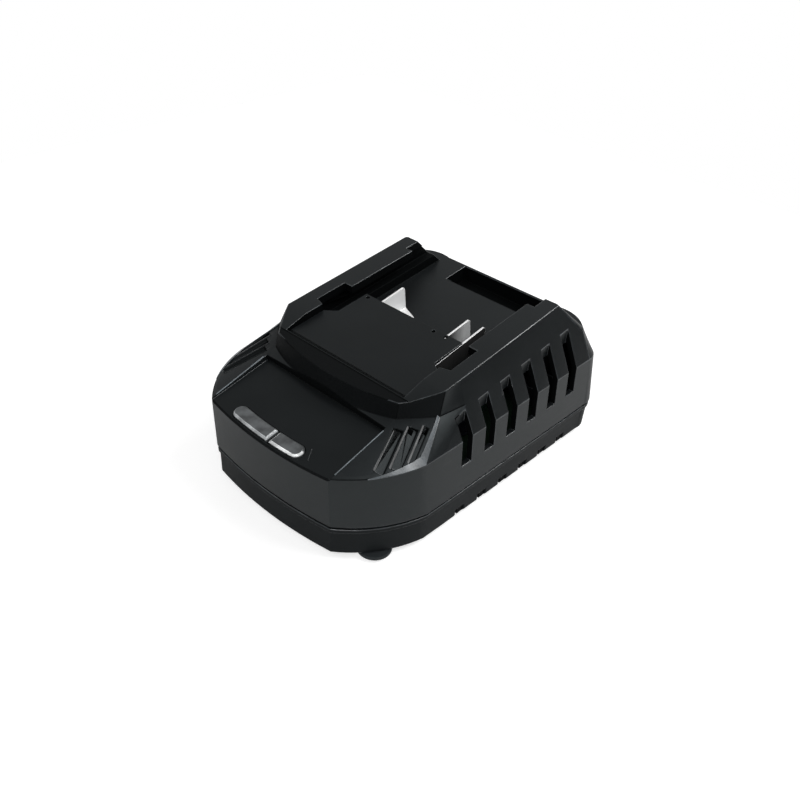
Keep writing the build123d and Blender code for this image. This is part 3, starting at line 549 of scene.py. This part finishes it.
FACE_ZONES = [
    # slots under the rails, from behind their front slope to the deck's end, nearly black with
    # painted shade
    (SHADED, {"side": (-ANY, TROUGH_HALF), "along": (1, 70), "above": (DECK, TROUGH_ROOF)}),
    (SHADED, {"side": (-ANY, TROUGH_HALF), "along": (0, 1), "above": (DECK, TROUGH_ROOF),
            "level": (-ANY, 0.9)}),
    (SHADED, {"side": (-ANY, TROUGH_HALF), "along": (-10, 0), "above": (DECK, TROUGH_ROOF),
            "level": (-ANY, 0.9), "back": (-0.3, ANY)}),
    # latch pit, nearly black with painted shade
    (SHADED, {"x": (-20, 25.5), "along": (75.5, 86.5), "above": (-ANY, -14.6)}),
    # cheeks of the vents, nearly black with painted shade
    (SHADED, {"side": (44.5, ANY), "y": (-25, 60), "z": (26, ANY), "lengthwise": (0.8, ANY)}),
    # dock's steep front, and the rim above it: coarser grain, darkened with painted shade
    (COARSE_SHADED, {"side": (-ANY, 48), "y": (-ANY, -20), "z": (41, ANY), "back": (-ANY, -0.3),
              "level": (-ANY, 0.85)}),
    (COARSE_SHADED, {"side": (-ANY, 30), "y": (-ANY, -22), "above": (-2.6, -1.2), "up": (0.9, ANY)}),
    # grooved corners: field and groove floors, coarser and lightened with painted light, then their
    # walls, darkened with painted shade
    (CORNER_LIT, {"side": (31, ANY), "from_ridge": (0.2, ANY), "y": (-ANY, -24), "z": (39.8, 49),
              "up": (0.7, ANY)}),
    (COARSE_SHADED, {"side": (31, ANY), "from_ridge": (0.2, ANY), "y": (-ANY, -24), "z": (39.8, 49)}),
    (PANEL, {"side": (-ANY, 30.7), "y": (-69.5, -40), "panel": (0.999, ANY)}),
]


def housing_zone(center, normal, index):
    """The finish of one face: that of the first zone that holds it, else the one it has."""
    found = measures(center, normal)
    zones = EDGE_ZONES + FACE_ZONES if index == EDGE else FACE_ZONES
    for finish, ranges in zones:
        if all(low < found[key] < high for key, (low, high) in ranges.items()):
            return finish
    return index


print("zones:", len(EDGE_ZONES), "for rounded edges and", len(FACE_ZONES), "for every face")

# %% Dress the upper housing
upper = rounded("upper_housing", 0.30, (housing_plastic, housing_edges, panel_plastic,
                                        coarse_shaded_plastic, painted_shade_plastic, corner_lit_plastic),
                angle=15.0, zone=housing_zone)
skin = surface_of(upper)

# %% [markdown]
# ## Raised rims and ribs of the front corners
# Each grooved corner has a raised rim along its outer side: narrow where the ridge leaves the dock,
# widest where the ridge meets the crease, and running out forwards along the crease. Beside each
# groove stands a low rib. All are wedges: one edge lies on the housing, the other stands a little
# proud, so the slope between them turns outwards and catches more light than the field around it.
# Their finishes are paler than the housing's, a painted highlight.
# One helper makes them from pairs of a low and a high point. The rims' high points are found by
# casting a ray down onto the dressed housing.

# %% Helpers: a place on the housing, and a wedge from pairs of points
ABOVE_ALL = 90            # a distance (mm) beyond everything, from which rays are cast
FOOT = 0.6                # how far a wedge reaches down into the housing, in mm
HIGH_INSET, LOW_INSET = 0.06, 0.15        # shares of the width by which its foot is narrower
WEDGE_EDGE = 0.10


def on_housing(x, y, lift=0.0):
    """The place on the dressed housing at x and y, raised by lift (mm)."""
    place, _, _, _ = skin.ray_cast(Vector((x, y, ABOVE_ALL)) * MM, Vector((0, 0, -1)))
    return Vector((x, y, place.z / MM + lift))


def wedge(name, pairs, finish):
    """A closed wedge on both sides of the charger; each pair is a low and a high point in mm."""
    bm = bmesh.new()
    down = Vector((0, 0, FOOT))
    for side in (1, -1):
        rings = []
        for low, high in pairs:
            row = (low, high, high.lerp(low, HIGH_INSET) - down, low.lerp(high, LOW_INSET) - down)
            rings.append([bm.verts.new(Vector((side * p.x, p.y, p.z)) * MM) for p in row])
        for a, b in zip(rings, rings[1:]):
            for i in range(4):
                j = (i + 1) % 4
                bm.faces.new((a[i], a[j], b[j], b[i]))
        bm.faces.new(rings[0])
        bm.faces.new(rings[-1][::-1])
    bmesh.ops.recalc_face_normals(bm, faces=bm.faces)
    piece = add_piece(name, mesh_from(bm, name, finish, finish))
    made = finish_edges(piece, WEDGE_EDGE)
    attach(piece, "root")
    print(name, "faces:", len(made.polygons))


# %% The corner rims
ARC_MIDDLE, ARC_END = Vector((42.0, -55.9, 39.2)), Vector((30.2, -69.0, 39.2))
RIM_WIDE, RIM_NARROW, RIM_PROUD = 2.6, 0.8, 0.38
RISE_LEAST, RISE_MOST = 0.58, 0.75        # a rim's rise over its width
PROUD_GAIN = 1.6                          # a narrow rim stands less proud, in this proportion
RIDGE_STEPS, ARC_STEPS, ARC_SHARE = 10, 16, 0.62
WIDENING = 1.4                            # power by which a rim widens down the ridge
OVERHANG, LOW_LIFT = 0.06, 0.10           # the low edge stands out and up by this much


def circle_through(a, b, c):
    """Middle of the level circle through three points."""
    d = 2 * (a.x * (b.y - c.y) + b.x * (c.y - a.y) + c.x * (a.y - b.y))
    sq = [p.x ** 2 + p.y ** 2 for p in (a, b, c)]
    x = (sq[0] * (b.y - c.y) + sq[1] * (c.y - a.y) + sq[2] * (a.y - b.y)) / d
    y = (sq[0] * (c.x - b.x) + sq[1] * (a.x - c.x) + sq[2] * (b.x - a.x)) / d
    return Vector((x, y, a.z))


def rim_rows():
    """Points down the ridge and round the crease, each with its inward direction and width."""
    ridge = RIDGE_FOOT - RIDGE_TOP
    across = Vector((ridge.y, -ridge.x, 0)).normalized()
    rows = []
    for i in range(RIDGE_STEPS + 1):
        t = i / RIDGE_STEPS
        width = RIM_NARROW + (RIM_WIDE - RIM_NARROW) * t ** WIDENING
        rows.append([RIDGE_TOP + t * ridge, across, width])
    middle = circle_through(RIDGE_FOOT, ARC_MIDDLE, ARC_END)
    first, last = (math.atan2(p.y - middle.y, p.x - middle.x) for p in (RIDGE_FOOT, ARC_END))
    radius = (RIDGE_FOOT - middle).length
    for i in range(1, ARC_STEPS + 1):
        t = i / ARC_STEPS
        angle = first + (last - first) * ARC_SHARE * t
        out = Vector((math.cos(angle), math.sin(angle), 0))
        rows.append([middle + out * radius, -out, RIM_WIDE * (1 - t) + OVERHANG])
    corner, after = rows[RIDGE_STEPS], rows[RIDGE_STEPS + 1]
    corner[1] = (corner[1] + after[1]).normalized()
    return rows


def rim_pairs():
    """Low points on the housing's own edge and high points inwards of it."""
    pairs = []
    for point, inward, width in rim_rows():
        high = point + inward * width
        rise = on_housing(high.x, high.y).z - point.z
        rise = min(max(rise, RISE_LEAST * width), RISE_MOST * width)
        high.z = point.z + rise + RIM_PROUD * min(1.0, PROUD_GAIN * width / RIM_WIDE)
        pairs.append((point - inward * OVERHANG + Vector((0, 0, LOW_LIFT)), high))
    return pairs


wedge("corner_rims", rim_pairs(), rim_highlight_plastic)

# %% Ribs beside the grooves
RIB_WIDE, RIB_RISE, RIB_SINK = 0.75, 0.32, 0.1
RIBS = {
    "groove_rib_inner": (Vector((33.14, -40.5, 45.73)), Vector((38.77, -56.09, 40.36))),
    "groove_rib_middle": (Vector((35.97, -36.33, 46.64)), Vector((41.84, -51.67, 40.38))),
    "groove_rib_outer": (Vector((39.52, -32.35, 46.89)), Vector((44.48, -45.56, 40.71))),
}
# The ribs' pale finish is painted highlight.
for name, ends in RIBS.items():
    run = ends[1] - ends[0]
    across = Vector((-run.y, run.x, 0)).normalized() * RIB_WIDE / 2
    lift = Vector((0, 0, RIB_RISE))
    wedge(name, [(p + across - lift * RIB_SINK, p - across + lift) for p in ends], rib_highlight_plastic)

# %% [markdown]
# ## What follows a path
# The front edge, where the panel meets the wall, is rolled over softly, and a fine round bead
# borders the panel on both sides, pale as a painted highlight. A short pale hairline on the panel
# is a thin bead with painted highlight. All are a circle swept along a path. So is each turn of
# wire on the choke inside, only that one closed turn is repeated round the ring. One Geometry Nodes
# tree does all of it: the path becomes a curve, the curve a round bar, and the bar is placed as
# often as wanted, each time turned a step further. With one copy it is a plain bead.

# %% The tree: a round bar along a path, repeated by steps
BAR_SIDES = 10


def bar_tree():
    """Builds the tree: a path, the bar's radius, how many copies and the turn between them."""
    tree = bpy.data.node_groups.new("bars_along_path", "GeometryNodeTree")
    tree.interface.new_socket("Geometry", in_out="OUTPUT", socket_type="NodeSocketGeometry")
    for name, kind in (("Path", "Geometry"), ("Radius", "Float"), ("Copies", "Int"),
                       ("Step Turn", "Vector"), ("Pivot", "Vector"), ("Finish", "Material")):
        tree.interface.new_socket(name, in_out="INPUT", socket_type="NodeSocket" + kind)

    def add(kind, **inputs):
        """Adds a node and links its inputs to sockets; underscores are spaces."""
        made = tree.nodes.new(kind)
        for key, source in inputs.items():
            tree.links.new(source, made.inputs[key.replace("_", " ")])
        return made

    given = tree.nodes.new("NodeGroupInput").outputs
    path = add("GeometryNodeMeshToCurve", Mesh=given["Path"])
    circle = add("GeometryNodeCurvePrimitiveCircle", Radius=given["Radius"])
    circle.inputs["Resolution"].default_value = BAR_SIDES
    bar = add("GeometryNodeCurveToMesh", Curve=path.outputs[0], Profile_Curve=circle.outputs[0])
    bar.inputs["Fill Caps"].default_value = True
    row = add("GeometryNodeMeshLine", Count=given["Copies"])
    row.inputs["Offset"].default_value = (0, 0, 0)
    placed = add("GeometryNodeInstanceOnPoints", Points=row.outputs[0], Instance=bar.outputs[0])
    number = add("GeometryNodeInputIndex").outputs[0]
    turn = add("ShaderNodeVectorMath", Vector=given["Step Turn"])
    turn.operation = "SCALE"
    tree.links.new(number, turn.inputs["Scale"])
    turned = add("GeometryNodeRotateInstances", Instances=placed.outputs[0],
                 Rotation=turn.outputs[0], Pivot_Point=given["Pivot"])
    turned.inputs["Local Space"].default_value = False
    real = add("GeometryNodeRealizeInstances", Geometry=turned.outputs[0])
    finished = add("GeometryNodeSetMaterial", Geometry=real.outputs[0], Material=given["Finish"])
    tree.links.new(finished.outputs[0], tree.nodes.new("NodeGroupOutput").inputs[0])
    return tree


BARS = bar_tree()

# %% Helper: bars with the tree, kept as a plain mesh


def path_mesh(name, paths, closed):
    """Lines of points (mm) as a mesh of edges only."""
    verts, edges = [], []
    for points in paths:
        first, count = len(verts), len(points)
        verts += [point * MM for point in points]
        steps = count if closed else count - 1
        edges += [(first + i, first + (i + 1) % count) for i in range(steps)]
    mesh = bpy.data.meshes.new(name)
    mesh.from_pydata(verts, edges, [])
    return mesh


def bars(name, paths, radius, finish, closed=False, copies=1, step=(0, 0, 0),
         pivot=Vector()):
    """Round bars (mm) along lists of points, repeated by a step turn about a pivot."""
    piece = add_piece(name, path_mesh(name, paths, closed))
    follow = piece.modifiers.new("bars", "NODES")
    follow.node_group = BARS
    values = {"Radius": radius * MM, "Copies": copies, "Step Turn": step,
              "Pivot": tuple(pivot * MM), "Finish": finish}
    for socket in BARS.interface.items_tree:
        if socket.in_out == "INPUT" and socket.name in values:
            follow[socket.identifier] = values[socket.name]
    made = settle(piece)
    made.shade_smooth()
    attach(piece, "root")
    print(name, "faces:", len(made.polygons))


# %% The rolled lip, the panel's borders and the hairline
LIP_RADIUS, LIP_HALF, LIP_STEPS, LIP_HEIGHT = 0.55, 30.0, 24, 37.6
LIP_INSET = 0.7           # how far behind the wall the panel's height is taken
LIP_OUT, LIP_UP = 0.06, 0.02              # how far the lip stands out and up
BORDER_RADIUS, BORDER_LIFT, BORDER_STEPS = 0.24, 0.06, 12
BORDER_REAR, BORDER_FRONT = Vector((31.0, -43.4)), Vector((30.8, -66.4))
MARK_RADIUS, MARK_LIFT, MARK_ENDS = 0.16, 0.02, ((16.07, -62.69), (18.71, -67.26))


def lip_point(x):
    """Middle of the lip at x, from rays cast back at the wall and down at the panel (mm)."""
    wall, _, _, _ = skin.ray_cast(Vector((x, -ABOVE_ALL, LIP_HEIGHT)) * MM, Vector((0, 1, 0)))
    y = wall.y / MM
    top = on_housing(x, y + LIP_INSET, LIP_UP - LIP_RADIUS)
    return Vector((x, y + LIP_RADIUS - LIP_OUT, top.z))


lip = [lip_point(LIP_HALF * (2 * i / LIP_STEPS - 1)) for i in range(LIP_STEPS + 1)]
line = [BORDER_REAR.lerp(BORDER_FRONT, i / BORDER_STEPS) for i in range(BORDER_STEPS + 1)]
borders = [[on_housing(side * p.x, p.y, BORDER_LIFT) for p in line] for side in (1, -1)]
mark = [on_housing(x, y, MARK_LIFT) for x, y in MARK_ENDS]
bars("front_lip", [lip], LIP_RADIUS, coarse_shaded_plastic)
bars("panel_borders", borders, BORDER_RADIUS, border_highlight_plastic)
# A pale hairline: a thin bead with painted highlight.
bars("panel_mark", [mark], MARK_RADIUS, rib_highlight_plastic)

# %% [markdown]
# ## The choke's winding
# A mains choke is a coated ring with enamelled copper wire round it. The solid is the bare ring, so
# the wire is one rounded turn round the ring's section, repeated about the ring's axis, with a gap
# at the bottom where the ring stands on the board.

# %% Wind the choke
CHOKE_AT, CHOKE_OUTER, CHOKE_INNER, CHOKE_HALF = Vector((14.0, 33.8, 22.1)), 10.0, 4.6, 4.0
WIRE, WIRE_BEND, TURNS, TURN_STEP = 0.42, 0.7, 21, math.radians(15)


def turn_of_wire():
    """One closed turn round the ring's section, on the side where the winding starts (mm)."""
    start = math.radians(-90) + (2 * math.pi - (TURNS - 1) * TURN_STEP) / 2
    outward = Vector((math.cos(start), 0, math.sin(start)))
    near, far, half = CHOKE_INNER - WIRE, CHOKE_OUTER + WIRE, CHOKE_HALF + WIRE
    points = []
    for r, y, turn in ((far, half, 0), (near, half, 90), (near, -half, 180), (far, -half, 270)):
        bend_r = r - WIRE_BEND if r == far else r + WIRE_BEND
        bend_y = y - WIRE_BEND if y > 0 else y + WIRE_BEND
        for step in (0, 45, 90):
            angle = math.radians(turn + step)
            points.append(CHOKE_AT + outward * (bend_r + WIRE_BEND * math.cos(angle))
                          + Vector((0, bend_y + WIRE_BEND * math.sin(angle), 0)))
    return points


bars("choke_winding", [turn_of_wire()], WIRE, copper, closed=True, copies=TURNS,
     step=(0, -TURN_STEP, 0), pivot=CHOKE_AT)

# %% [markdown]
# ## The lower housing
# The tray is rounded as the upper housing is. Its upright corners are as matt as its walls, and
# only the seam and the bottom edge take the paler edge finish, partly wear and partly painted
# highlight, so one rule on which way a face points is enough.

# %% Dress the lower housing
UPRIGHT = 0.35            # a face whose normal rises less than this stands upright


def base_zone(center, normal, index):
    """Upright corners take the walls' finish."""
    return BODY if abs(normal.z) < UPRIGHT else index


lower = rounded("lower_housing", 0.30, (base_plastic, housing_edges), zone=base_zone)

# %% [markdown]
# ## Behind the notches
# The notches along the bottom edge look dark, although the pale bench lies behind them. Blackening
# the notches' own faces would not keep the light out, so each gets a small plate just inside,
# nearly black with painted shade. A ray cast at the wall finds how far out the wall stands there.

# %% Plates behind the notches
NOTCH_FIRST, NOTCH_PITCH, NOTCH_COUNT = -16.4, 12.95, 6
PLATE_WIDE, PLATE_THICK, PLATE_IN = 5.8, 1.2, 0.8
PLATE_LOW, PLATE_HIGH = 2.9, 6.8
WALL_HEIGHT = 7.4         # just above the notches, where the wall is whole


def shade_the_notches():
    """Sets a nearly black plate, as painted shade, just inside each notch along the bottom edge, on
    both sides (mm).
    """
    bm = bmesh.new()
    walls = surface_of(lower)
    size = Vector((PLATE_THICK, PLATE_WIDE, PLATE_HIGH - PLATE_LOW)) * MM
    for i in range(NOTCH_COUNT):
        y = NOTCH_FIRST + i * NOTCH_PITCH
        wall, _, _, _ = walls.ray_cast(Vector((ABOVE_ALL, y, WALL_HEIGHT)) * MM, Vector((-1, 0, 0)))
        x = wall.x / MM - PLATE_IN - PLATE_THICK / 2
        for side in (1, -1):
            middle = Vector((side * x, y, (PLATE_LOW + PLATE_HIGH) / 2))
            place = Matrix.Translation(middle * MM) @ Matrix.Diagonal((*size, 1))
            bmesh.ops.create_cube(bm, size=1, matrix=place)
    piece = add_piece("notch_shade_plates", mesh_from(bm, "notch_shade_plates", painted_shade_plastic))
    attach(piece, "root")
    print("plates behind the notches:", 2 * NOTCH_COUNT)


shade_the_notches()

# %% [markdown]
# ## The terminal tower
# The tower is a moulding of its own, and a narrow gap across its front parts it from the dock. A
# dark line painted there would catch the light like the rest, so a Boolean cuts a real groove into
# the copy before its edges are rounded. The groove and the small dents along the rear also take the
# nearly black finish, as painted shade. Their places are told in the dock's coordinates.

# %% Dress the terminal tower
GAP_HALF, GAP_FRONT, GAP_REAR, GAP_DEEP, TOWER_TOP = 29.2, -10.6, -8.7, 1.3, -2.8
DENTS_FRONT, DENTS_REAR, DENTS_LOW = 22, 28.2, -4.2
JUST_BELOW, JUST_BEHIND = 0.05, 0.3       # room for faces that lie on a border
# The nearly black finish: painted shade for the gap and the dents.
TOWER_SHADED = 2                  # the last of the tower's three finishes


def tower_zone(center, normal, index):
    """The gap in front of the tower and the small dents along its rear get painted shade."""
    along, above = in_dock(center)
    sunk = DENTS_LOW < above < TOWER_TOP - JUST_BELOW
    in_gap, in_dents = along < GAP_REAR + JUST_BEHIND, DENTS_FRONT < along < DENTS_REAR
    return TOWER_SHADED if sunk and (in_gap or in_dents) else index


gap = [from_dock(x, along, above) for x in (-GAP_HALF, GAP_HALF) for along in (GAP_FRONT, GAP_REAR)
       for above in (TOWER_TOP - GAP_DEEP, TOWER_TOP + 1)]
rounded("terminal_tower", 0.22, (tower_plastic, housing_edges, painted_shade_plastic), zone=tower_zone,
        groove=gap)

# %% [markdown]
# ## Lenses, blades and rubber
# The slope that runs round the lenses' top is paler in front and at the outer end, a painted
# highlight, so that slope has its own finish. The blades are plated on their broad sides and
# brighter on the cut edges; painted shade darkens the middle one towards the tower and the right
# one all over. A face's direction tells these apart, with no need to unwrap or paint. Feet and
# gland are plain rubber, rounded like the rest.

# %% Dress the lenses, the blades and the rubber
SLOPE_STEEP, SLOPE_FLAT = 0.3, 0.96       # how far a lens's slope faces the way the panel does
FACES_END, FACES_BACK, SIDE_FACE = 0.45, 0.1, 0.9
LONG_LENS_END = 5.0                       # the long lens lies left of here


def lens_zone(center, normal, index):
    """The slope round a lens's top, in front and at its outer end, gets a paler finish as painted
    highlight.
    """
    slope = SLOPE_STEEP < normal.dot(PANEL_NORMAL) < SLOPE_FLAT
    inner_end = (center.x < LONG_LENS_END and normal.x * center.x < 0
                 and abs(normal.x) > FACES_END)
    return EDGE if slope and normal.y < FACES_BACK and not inner_end else BODY


def blade_zone(center, normal, index):
    """A blade's broad sides keep the plating's finish; its cut edges are brighter."""
    return index if abs(normal.x) > SIDE_FACE else EDGE


# Each lens's slope gets its painted highlight, the short lens's the paler one.
for name, slope_highlight in (("long", lens_slope_highlight), ("short", short_lens_slope_highlight)):
    rounded("status_lens_" + name, 0.25, (lens_frosted, slope_highlight), segments=3, zone=lens_zone)
# The middle and right blades carry painted shade.
for name, face in (("left", tin), ("middle", tin_shaded_to_tower), ("right", tin_painted_shade)):
    rounded("terminal_blade_" + name, 0.12, (face, tin_edge), zone=blade_zone)
for name in ("rubber_feet", "cord_gland"):
    rounded(name, 0.25, (black_rubber, black_rubber))

# %% [markdown]
# ## The bench and the light
# The charger stands on a pale mat in a pale room. Camera rays, and those that pass through clear
# plastic, see both white, while the light that they give back to the object stays that of real pale
# surfaces. The room is pale at the sides and softer overhead, and dark in two sectors, behind on
# the right and in front on the left, as a studio keeps it for dark satin things: a black object
# shows mostly what it mirrors, so the dark sectors turn the sloping shoulder and the dock's front
# nearly black, and the walls and tops stand out against them.

# %% The floor
FLOOR_HALF, FLOOR_GREY = 0.38, 0.70
SEEN_GLOW, MIRRORED_GLOW = 0.56, 0.04     # what is added for the camera, and in mirror images


def pale_floor():
    """A matt pale floor that camera rays, and rays through clear plastic, see as white."""
    f = Finish("pale_floor", (FLOOR_GREY,) * 3, 0.9, specular=0.1)
    rays = f.tree.nodes.new("ShaderNodeLightPath").outputs
    seen = f.math("MAXIMUM", rays["Is Camera Ray"], rays["Is Transmission Ray"])
    strength = f.math("ADD", f.math("MULTIPLY", seen, SEEN_GLOW),
                      f.math("MULTIPLY", rays["Is Glossy Ray"], MIRRORED_GLOW))
    glow = f.node("ShaderNodeEmission", Color=(1, 1, 1, 1), Strength=strength)
    both = f.tree.nodes.new("ShaderNodeAddShader")
    f.tree.links.new(f.shader.outputs[0], both.inputs[0])
    f.tree.links.new(glow.outputs[0], both.inputs[1])
    f.tree.links.new(both.outputs[0], f.tree.nodes["Material Output"].inputs["Surface"])
    return f.material


floor_mesh = bpy.data.meshes.new("floor")
floor_corners = [(x * FLOOR_HALF, y * FLOOR_HALF, 0)
                 for x, y in ((-1, -1), (1, -1), (1, 1), (-1, 1))]
floor_mesh.from_pydata(floor_corners, [], [(0, 1, 2, 3)])
floor_mesh.materials.append(pale_floor())
floor = add_piece("floor", floor_mesh)

# %% The room
ROOM_LOW, ROOM_HIGH = 0.55, 0.28          # brightness near the horizon and overhead
LOW_END, HIGH_START = 0.05, 0.75          # heights of a direction between which it changes
DARK_SECTORS = (Vector((0.74, 0.66, 0.08)), Vector((-0.50, -0.85, 0.12)))
SECTOR_EDGE, SECTOR_CORE = 0.50, 0.93     # cosines between which the room darkens
SECTOR_LEFT = 0.05                        # share of the light that a sector keeps


def pale_room():
    """A world that is bright near the horizon, softer overhead and dark in two sectors."""
    world = bpy.data.worlds.new("pale_room")
    world.use_nodes = True
    tree = world.node_tree
    direction = tree.nodes.new("ShaderNodeTexCoord").outputs["Generated"]

    def ramp(factor, *ends):
        """Runs smoothly between two values: where it starts and ends, then the values."""
        span = tree.nodes.new("ShaderNodeMapRange")
        span.interpolation_type = "SMOOTHSTEP"
        for socket, value in zip(span.inputs[1:5], ends):
            socket.default_value = value
        tree.links.new(factor, span.inputs[0])
        return span.outputs[0]

    def join(operation, first, second):
        """Calculates with two sockets."""
        made = tree.nodes.new("ShaderNodeMath")
        made.operation = operation
        tree.links.new(first, made.inputs[0])
        tree.links.new(second, made.inputs[1])
        return made.outputs[0]

    parts = tree.nodes.new("ShaderNodeSeparateXYZ")
    tree.links.new(direction, parts.inputs[0])
    strength = ramp(parts.outputs["Z"], LOW_END, HIGH_START, ROOM_LOW, ROOM_HIGH)
    for sector in DARK_SECTORS:
        toward = tree.nodes.new("ShaderNodeVectorMath")
        toward.operation = "DOT_PRODUCT"
        toward.inputs[1].default_value = sector.normalized()
        tree.links.new(direction, toward.inputs[0])
        dimmed = ramp(toward.outputs["Value"], SECTOR_EDGE, SECTOR_CORE, 1.0, SECTOR_LEFT)
        strength = join("MULTIPLY", strength, dimmed)
    rays = tree.nodes.new("ShaderNodeLightPath").outputs
    for kind in ("Is Camera Ray", "Is Transmission Ray"):
        strength = join("MAXIMUM", strength, rays[kind])
    sky = tree.nodes["Background"]
    sky.inputs["Color"].default_value = (1, 1, 1, 1)
    tree.links.new(strength, sky.inputs["Strength"])
    return world


bpy.context.scene.world = pale_room()
print("floor", 2 * FLOOR_HALF, "m wide, dark sectors:", len(DARK_SECTORS))

# %% [markdown]
# ## Lamps
# Each soft box is set from the direction it stands in and from how bright its face looks, because
# on a dark satin object a lamp matters as a mirror image first. Its power follows from brightness
# and area. The first one is long and thin and follows the arc of directions that an edge along the
# charger mirrors, so that the rails' outer edges shine along their whole length.

# %% Soft boxes
AIM = Vector((0, 0, 35)) * MM


def soft_box(name, direction, distance, size, brightness, along=(0, 0, 1)):
    """A soft box (m) in a direction, its face of the given radiance, its height along a vector."""
    width, height = size
    lamp = bpy.data.lights.new(name, "AREA")
    lamp.shape = "RECTANGLE"
    lamp.size, lamp.size_y = width, height
    lamp.energy = brightness * math.pi * width * height
    away = Vector(direction).normalized()
    side = Vector(along).cross(away).normalized()
    holder = bpy.data.objects.new(name, lamp)
    turn = Matrix((side, away.cross(side), away)).transposed().to_4x4()
    holder.matrix_world = Matrix.Translation(AIM + away * distance) @ turn
    bpy.context.scene.collection.objects.link(holder)


soft_box("edges", (0.35, 0.62, 0.70), 0.9, (0.12, 0.56), 12.0, along=(0.894, 0, -0.447))
soft_box("corners", (0.53, 0.24, 0.81), 0.9, (0.34, 0.34), 6.5)
soft_box("front_left", (-0.50, -0.57, 0.60), 0.9, (0.35, 0.35), 2.4)
soft_box("key", (0.45, -0.62, 0.66), 1.1, (0.50, 0.50), 7.0)
print("soft boxes:", len(bpy.data.lights))

# %% [markdown]
# ## The last step
# The Standard view shows black plastic as black, where a film-like view would lift it to grey.

# %% Finish
bpy.context.scene.view_settings.view_transform = "Standard"
